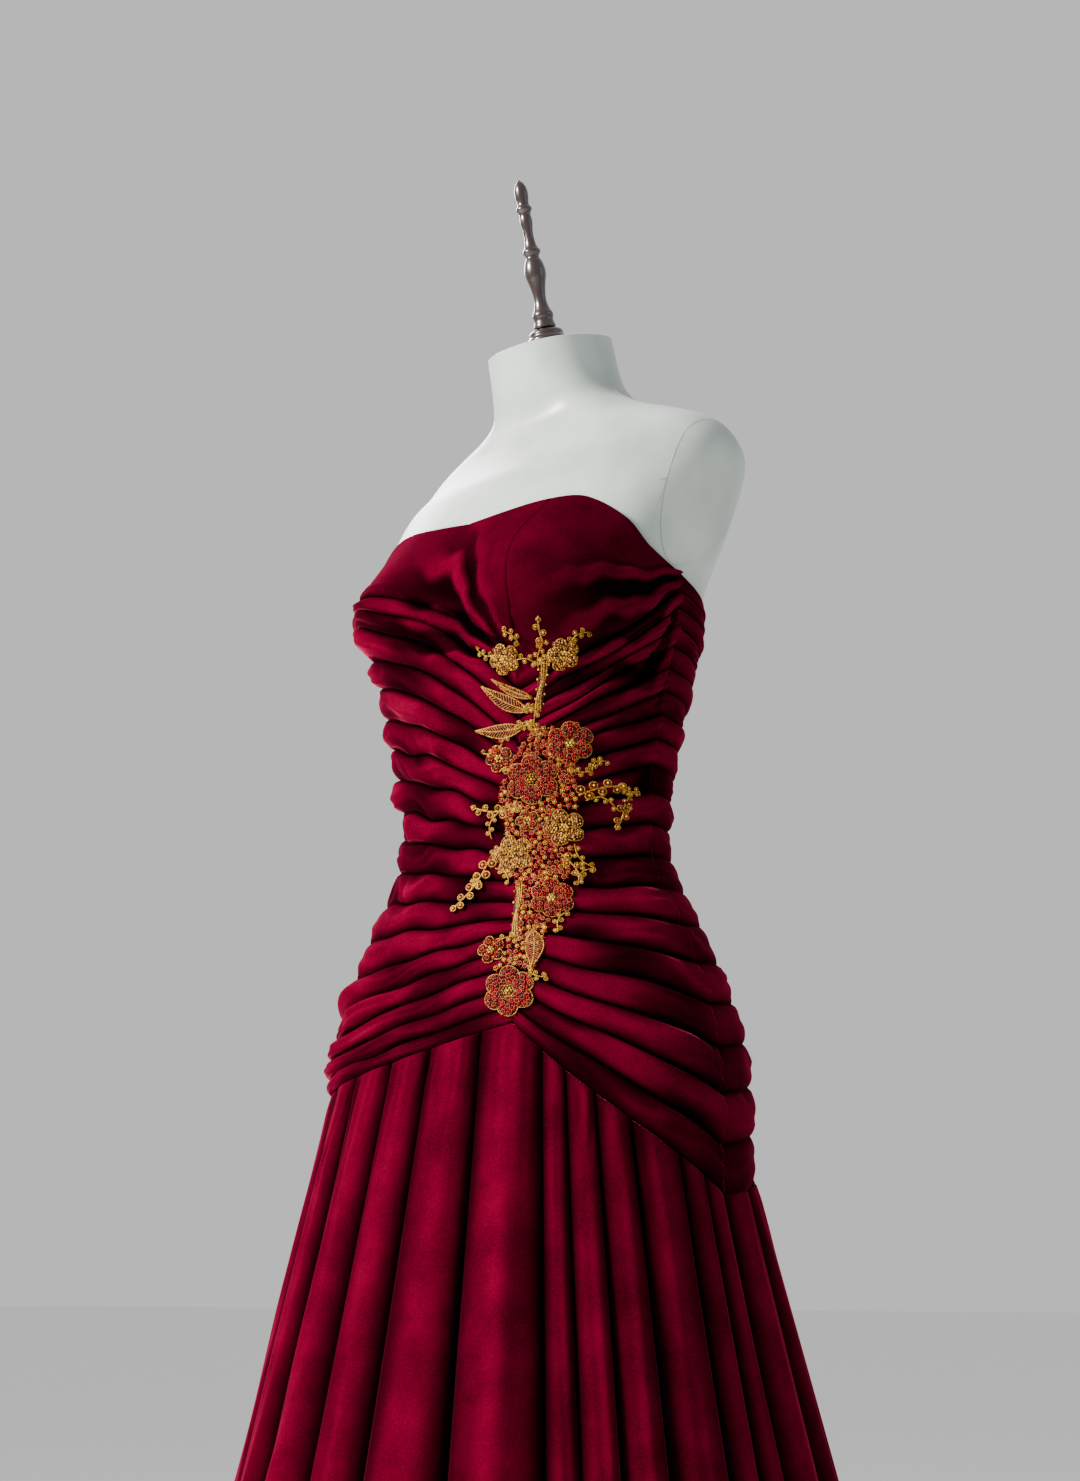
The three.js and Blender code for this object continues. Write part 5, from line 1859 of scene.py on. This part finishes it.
    def sown(self, rng: np.random.Generator) -> tuple[Array, Array]:
        """Places for loops: random ones in the band, clear of the flowers and of each other.

        Args:
            rng: Source of the seeded draws.

        Returns:
            Angles and heights.
        """
        rows = self.filling[::-1]
        height = rng.uniform(rows[0, 1], rows[-1, 1], self.loop_tries)
        line, half = hermite(rows[:, [1, 0]], height), hermite(rows[:, [1, 2]], height)
        off = rng.uniform(-1.0, 1.0, self.loop_tries) * half
        radius = self.figure.radius(line, height)
        angle = line + np.degrees(off / radius)
        flat = np.stack([np.radians(angle) * radius, height], axis=1)
        flowers = np.array([(f.angle, f.z, f.radius) for f in FLOWERS], dtype=float)
        x = np.radians(flowers[:, 0]) * self.figure.radius(flowers[:, 0], flowers[:, 1])
        apart = np.hypot(flat[:, None, 0] - x, flat[:, None, 1] - flowers[:, 1])
        clear = np.all(apart > flowers[:, 2] * 0.95 + 1.6, axis=1)
        keep: list[int] = []
        for k in np.flatnonzero(clear):
            if not keep or np.min(np.hypot(*(flat[keep] - flat[k]).T)) > self.loop_spacing:
                keep.append(int(k))
        LOG.info("spray: %d small loops", len(keep))
        return angle[keep], height[keep]

    def fill(self) -> Shape:
        """Small outlined loops and beads sown in the band between the large motifs.

        Each loop is a circle of cord round one bead, with five smaller beads about it.

        Returns:
            The loops and beads.
        """
        rng = np.random.default_rng(77)
        angle, height = self.sown(rng)
        count = len(angle)
        radius = rng.uniform(*self.loop_radii, count)[:, None]
        around = turns(12)
        circle = (radius * np.cos(around), radius * np.sin(around))
        gold = rng.random(count) < self.gold_share
        size = 1.15 * rng.uniform(0.7, 1.0, count)
        swirl = turns(5, rng.random((count, 1)))
        parts = []
        for chosen, cord, glass in (
            (gold, Yarn.GOLD_CORD, Yarn.GOLD_BEAD), (~gold, Yarn.PALE_CORD, Yarn.RED_BEAD)
        ):
            at = (angle[chosen], height[chosen])
            path = (circle[0][chosen], circle[1][chosen])
            parts.append(self.cords(at[0][:, None], at[1][:, None], path, 0.6, 0.45, cord, True))
            parts.append(spheres(self.place(*at, 0.0, 0.0, 0.9), size[chosen], glass))
        five = ((radius + 1.25) * np.cos(swirl), (radius + 1.25) * np.sin(swirl))
        small = self.place(angle[:, None], height[:, None], *five, 0.45)
        return Shape.merge([*parts, spheres(small, 0.62, Yarn.RED_BEAD)])

    def dress(self) -> None:
        """Builds every motif over its CAD solid, then the small loops between them."""
        for flower in FLOWERS:
            piece = self.blossom(flower).build(f"beaded_{flower.name}", self.materials)
            finish(piece, "root", "bead_embroidery", flower.name)
        makers = {Work.LEAF: self.leaf, Work.SPRIG: self.sprig, Work.STEM: self.stem}
        for leaf in LEAVES:
            piece = makers[leaf.work](leaf).build(f"corded_{leaf.name}", self.materials)
            finish(piece, "root", "gold_embroidery", leaf.name)
        loops = Shape.merge([self.fill(), self.tendrils(), self.leaf(SLIM_LEAF)])
        finish(loops.build("spray_small_loops", self.materials), "root", "bead_embroidery")
        LOG.info("spray: %d flowers, %d leaves and stems", len(FLOWERS), len(LEAVES))


# The dress form and its stand


@dataclass
class DressForm:
    """Limbless form: torso and two parted arm caps in white satin."""

    figure: Figure
    shell: bpy.types.Material
    arm_reach: float = 160.0
    arm_lean: float = 7.0
    arm_foot: float = 1225.0
    arm_height: float = 1338.0
    levels: int = 210
    columns: int = 132
    seam_gap: float = 0.5
    seam_angle: float = 89.0
    seam_rise: float = 0.7

    def blank(self) -> Shape:
        """The whole form, with a fine raised seam up each side of the neck and shoulder.

        A point is the figure's, sunk by the inset below the dress's top edge, plus a seam ridge
        that is a bell curve of the angle. Rings of less and less radius close both ends.

        Returns:
            The closed form.
        """
        low, high = self.figure.rows[0, 0], self.figure.rows[-1, 0]
        z = np.linspace(low, high, self.levels)[:, None]
        fine = np.concatenate([side * self.seam_angle + np.linspace(-1.6, 1.6, 9) for side in (1, -1)])
        even = np.linspace(-180.0, 180.0, self.columns, endpoint=False)
        even = even[np.abs(np.abs(even) - self.seam_angle) > 2.4]
        angle = np.sort(np.concatenate([even, fine]))[None, :]
        inset = -self.figure.inset * self.figure.below_top(angle, z)
        ridge = np.exp(-(((np.abs(angle) - self.seam_angle) / 0.6) ** 2))
        inset = inset + self.seam_rise * ridge * smoothstep(z, 1388.0, 1404.0)
        body = self.figure.on(angle, z, inset)
        rim_share = np.array([0.985, 0.95, 0.6, 0.2])[:, None]  # of the end ring's radius
        rim_drop = np.array([0.5, 0.9, 1.0, 1.0])[:, None]
        top_radius = self.figure.radius(angle, np.array([[high]]))
        cap = self.figure.placed(angle, top_radius * rim_share, high + rim_drop)
        foot_radius = self.figure.radius(angle, np.array([[low]])) + inset[:1]
        sole = self.figure.placed(angle, foot_radius * rim_share[::-1], low + 0.0 * rim_share)
        rings = np.concatenate([sole, body, cap])
        rows, columns = rings.shape[:2]
        last = (rows - 1) * columns
        j = np.arange(columns)
        ends = [j[::-1][None, :], last + j[None, :]]
        return Shape.of(rings, [grid_faces(rows, columns, closed=True), *ends]).facing_out()

    def wedge(self, side: float, gap: float) -> Shape:
        """The space beyond a leaning plane at one shoulder, above the foot of the arm cap.

        Args:
            side: Plus one for the wearer's left, minus one for the right.
            gap: How far its two near faces stand back.

        Returns:
            The space as a closed box.
        """
        turn = -math.radians(float(self.figure.column(5, self.arm_height)))
        lean = math.radians(self.arm_lean)
        aim = Matrix.Rotation(turn, 3, "Z") @ Vector((side * math.cos(lean), 0.0, -math.sin(lean)))
        at = self.figure.placed(np.array(side * 90.0), np.array(self.arm_reach), np.array(self.arm_height))
        reach = aim.dot(Vector(at)) + gap
        foot, head, far, deep = self.arm_foot + gap, 1500.0, 320.0, 220.0
        corners = []
        for z in (foot, head):
            near = (reach + math.sin(lean) * z) / math.cos(lean)
            outline = ((near, -deep), (far, -deep), (far, deep), (near, deep))
            corners += [(side * x, y, z) for x, y in outline]
        points = np.array(corners) @ np.array(Matrix.Rotation(turn, 3, "Z")).T
        walls = [(k, (k + 1) % 4, 4 + (k + 1) % 4, 4 + k) for k in range(4)]
        faces = np.array([(0, 3, 2, 1), (4, 5, 6, 7), *walls])
        return Shape.of(points, [faces]).facing_out()

    def cut(self, name: str, cutters: list[Shape], keep: str) -> bpy.types.Object:
        """Cuts the blank with wedges and keeps the chosen part as a plain mesh.

        Args:
            name: Name of the piece.
            cutters: Wedges, used one after another.
            keep: DIFFERENCE or INTERSECT.

        Returns:
            The piece, with no modifier left on it.
        """
        piece = self.blank().build(name, [self.shell])
        tools = []
        for k, cutter in enumerate(cutters):
            tool = cutter.build(f"{name}_wedge_{k}", [self.shell])
            modifier = piece.modifiers.new(f"wedge_{k}", "BOOLEAN")
            modifier.operation = keep
            modifier.object = tool
            modifier.solver = "EXACT"
            tools.append(tool)
        bpy.context.view_layer.update()
        shown = piece.evaluated_get(bpy.context.evaluated_depsgraph_get())
        mesh = bpy.data.meshes.new_from_object(shown)
        piece.modifiers.clear()
        piece.data = mesh
        mesh.name = name
        mesh.shade_smooth()
        mesh.set_sharp_from_angle(angle=math.radians(38.0))
        for tool in tools:
            bpy.data.objects.remove(tool, do_unlink=True)
        return piece

    def dress(self) -> None:
        """Builds the torso and both arm caps."""
        wedges = [self.wedge(side.value, 0.0) for side in Side]
        torso = self.cut("form_torso_cover", wedges, "DIFFERENCE")
        finish(torso, "root", "form_shell", "form_torso")
        for side in Side:
            node = f"arm_cap_{side.word}"
            cap = self.cut(f"{node}_cover", [self.wedge(side.value, self.seam_gap)], "INTERSECT")
            finish(cap, "root", "form_shell", node)
            LOG.info("form: %s", node)


@dataclass
class Stand:
    """Round base, pole and plate under the form, and the turned finial on its neck."""

    figure: Figure
    enamel: bpy.types.Material
    steel: bpy.types.Material
    wood: bpy.types.Material
    base_radius: float = 195.0
    collar: float = 30.0
    pole_radius: float = 14.0
    plate_radius: float = 60.0
    plate_thickness: float = 10.0
    hub_height: float = 34.0
    finial_seat: float = 1.0
    finial_foot: tuple[tuple[float, float], ...] = (
        (0, 0), (19, 0), (20, 3), (17, 6), (18, 9), (15, 12), (15.5, 15), (12, 18), (0, 18),
    )
    finial_spindle: tuple[tuple[float, float], ...] = (
        (0, 0), (11, 0), (8, 8), (10, 13), (7, 18), (5, 27), (7, 40), (10, 50), (8.5, 60), (5, 66),
        (9, 70), (5, 75), (4, 88), (6, 98), (4.5, 105), (8, 109), (4.5, 113), (6.5, 122), (5, 131),
        (0, 136),
    )

    def lean(self, foot: float) -> Matrix:
        """Where a finial piece stands: on the neck's rim, leaning and turned with it.

        Args:
            foot: Height of the piece's foot above the rim.

        Returns:
            The matrix that takes the piece there.
        """
        high = float(self.figure.rows[-1, 0])
        set_back = float(self.figure.rows[-1, 4])
        turn, tilt = (math.radians(v) for v in self.figure.rows[-1, 5:7])
        at = Vector((set_back * math.sin(turn), set_back * math.cos(turn), high))
        facing = Euler((tilt, 0.0, -turn), "XYZ").to_matrix().to_4x4()
        return Matrix.Translation(at) @ facing @ Matrix.Translation((0.0, 0.0, foot))

    def dress(self) -> None:
        """Builds the stand from the floor up, then the finial."""
        base = [
            (0, 0), (self.base_radius, 0), (self.base_radius, 5), (self.base_radius - 12, 10),
            (self.collar + 14, 16), (self.collar, 18), (self.collar - 6, self.hub_height),
            (0, self.hub_height),
        ]
        top = self.figure.rows[0, 0] - SEAM_GAP
        plate_foot = top - self.plate_thickness
        low, high = self.hub_height + SEAM_GAP, plate_foot - SEAM_GAP
        pole = [(0, low), (self.pole_radius, low), (self.pole_radius, high), (0, high)]
        plate = [(0, plate_foot), (self.plate_radius * 0.6, plate_foot), (self.plate_radius, plate_foot + 4)]
        plate += [(self.plate_radius, top), (0, top)]
        for node, profile, segments, material, slot in (
            ("stand_base", base, 128, self.enamel, "stand_enamel"),
            ("stand_pole", pole, 64, self.steel, "stand_steel"),
            ("form_plate", plate, 96, self.wood, "finial_wood"),
        ):
            turned = lathe(np.array(profile, dtype=float), segments)
            finish(turned.build(f"{node}_turned", [material], 30.0), "root", slot, node)
            LOG.info("stand: %s", node)
        spindle_foot = self.finial_seat + self.finial_foot[-1][1] + SEAM_GAP
        for node, profile, foot in (
            ("finial_foot", self.finial_foot, self.finial_seat),
            ("finial_spindle", self.finial_spindle, spindle_foot),
        ):
            turned = lathe(softened(profile, 3), 72).moved(self.lean(foot))
            finish(turned.build(f"{node}_turned", [self.wood], 50.0), "root", "finial_wood", node)
            LOG.info("stand: %s", node)


# Camera, light and floor


@dataclass
class Studio:
    """The photograph's viewpoint, soft lights and a plain pale floor."""

    azimuth: float = 34.0
    distance: float = 2.0
    height: float = 0.67
    pitch_up: float = 12.7
    aside: float = 0.0033
    lens: float = 58.87
    sensor: float = 36.0
    floor_size: float = 120.0

    def camera(self) -> None:
        """Makes the camera, whose long side holds the sensor's width."""
        turn = math.radians(self.azimuth)
        data = bpy.data.cameras.new("photo_camera")
        data.sensor_fit = "AUTO"
        data.sensor_width = self.sensor
        data.lens = self.lens
        data.clip_end = 100.0
        camera = bpy.data.objects.new("photo_camera", data)
        back = Vector((math.sin(turn), -math.cos(turn), 0.0)) * self.distance
        right = Vector((math.cos(turn), math.sin(turn), 0.0)) * self.aside
        camera.location = back + right + Vector((0.0, 0.0, self.height))
        camera.rotation_euler = (math.radians(90.0 + self.pitch_up), 0.0, turn)
        bpy.context.collection.objects.link(camera)
        bpy.context.scene.camera = camera

    def light(self, name: str, azimuth: float, elevation: float, reach: float, size: float,
              power: float, colour: str) -> None:
        """Makes one soft square light that faces the bodice.

        Args:
            name: Name of the light.
            azimuth: Direction it stands in, on the camera's scale, in degrees.
            elevation: Height angle above the bodice, in degrees.
            reach: Distance in metres.
            size: Side of the square in metres.
            power: Power in watts.
            colour: Colour as an sRGB hex value.
        """
        data = bpy.data.lights.new(name, "AREA")
        data.shape = "SQUARE"
        data.size = size
        data.energy = power
        data.color = linear(colour)[:3]
        lamp = bpy.data.objects.new(name, data)
        a, e = math.radians(azimuth), math.radians(elevation)
        away = Vector((math.sin(a) * math.cos(e), -math.cos(a) * math.cos(e), math.sin(e)))
        lamp.location = Vector((0.0, 0.0, 1.0)) + away * reach
        lamp.rotation_euler = away.to_track_quat("Z", "Y").to_euler()
        bpy.context.collection.objects.link(lamp)

    def floor(self) -> None:
        """Makes the floor just under the base."""
        half, drop = self.floor_size / MM / 2, -0.5
        corners = np.array([(x * half, y * half, drop) for x, y in ((-1, -1), (1, -1), (1, 1), (-1, 1))])
        paint = HardFinish("floor_pale_matt_paint", "#F4F3F1", 0.75, grain_mm=120.0).build()
        Shape.of(corners, [np.array([[0, 1, 2, 3]])]).build("floor", [paint])

    def world(self) -> None:
        """Makes a pale even surrounding."""
        world = bpy.data.worlds.new("pale_room")
        world.use_nodes = True
        sky = world.node_tree.nodes["Background"]
        sky.inputs["Color"].default_value = linear("#E6E6E8")
        sky.inputs["Strength"].default_value = 0.85
        bpy.context.scene.world = world

    def dress(self) -> None:
        """Sets floor, surroundings and lights."""
        self.floor()
        self.world()
        self.light("key_left_front", -34.0, 30.0, 2.8, 0.45, 300.0, "#FFF6EE")
        self.light("fill_right", 100.0, 20.0, 3.4, 1.8, 8.0, "#EEF2FF")
        self.light("rim_back_left", 235.0, 40.0, 2.8, 0.9, 50.0, "#FFFFFF")


def main() -> None:
    """Loads the frame and dresses every sub-assembly in order."""
    logging.basicConfig(level=logging.INFO, format="%(name)s: %(message)s")
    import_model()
    studio = Studio()
    studio.camera()
    figure = Figure()
    velvet = SilkVelvet().build()
    DressForm(figure, SatinShell().build()).dress()
    zip_parts = Zip(
        figure,
        # dull and near black beside the velvet
        Thread("zip_tape_dyed_polyester", "#24020C", "#440618", roughness=0.7).build(),
        # smooth and half matt
        HardFinish("zip_coil_nylon", "#3A0818", 0.5).build(),
        # a clear sharp shine over dark red metal
        HardFinish("zip_alloy_lacquered", "#7E1A38", 0.3, metallic=0.55, coat=0.5).build(),
    )
    Bodice(figure, velvet).dress(zip_parts.width / 2)
    Skirt(figure, velvet).dress()
    zip_parts.dress()
    Spray(figure, [
        # dark and without shine, so that beads and cords stand out
        Thread("net_and_rayon_ground", "#140002", "#3C0004", roughness=0.7, twist_mm=1.4).build(),
        # deep red glints
        GlassBead("glass_seed_bead_red", "#42000A", "#A0000E").build(),
        # a soft pinkish gold
        Thread("rayon_cord_pale_gold", "#3C1A10", "#A46434", roughness=0.5).build(),
        # the yellowest and brightest of the cords
        Thread("metallic_cord_gold", "#402606", "#B2842A", metallic=0.35, roughness=0.4).build(),
        # bright gold points
        GlassBead("glass_seed_bead_gold", "#6A440C", "#D8A63E").build(),
    ]).dress()
    Stand(
        figure,
        # near black with a soft even shine
        HardFinish("stand_black_enamel", "#1C1B1C", 0.42, coat=0.3, grain_mm=6.0).build(),
        # grey metal with a wide blurred shine
        HardFinish("stand_brushed_steel", "#9A9A9E", 0.34, metallic=1.0).build(),
        LacqueredWood().build(),
    ).dress()
    studio.dress()


if __name__ == "__main__":
    main()
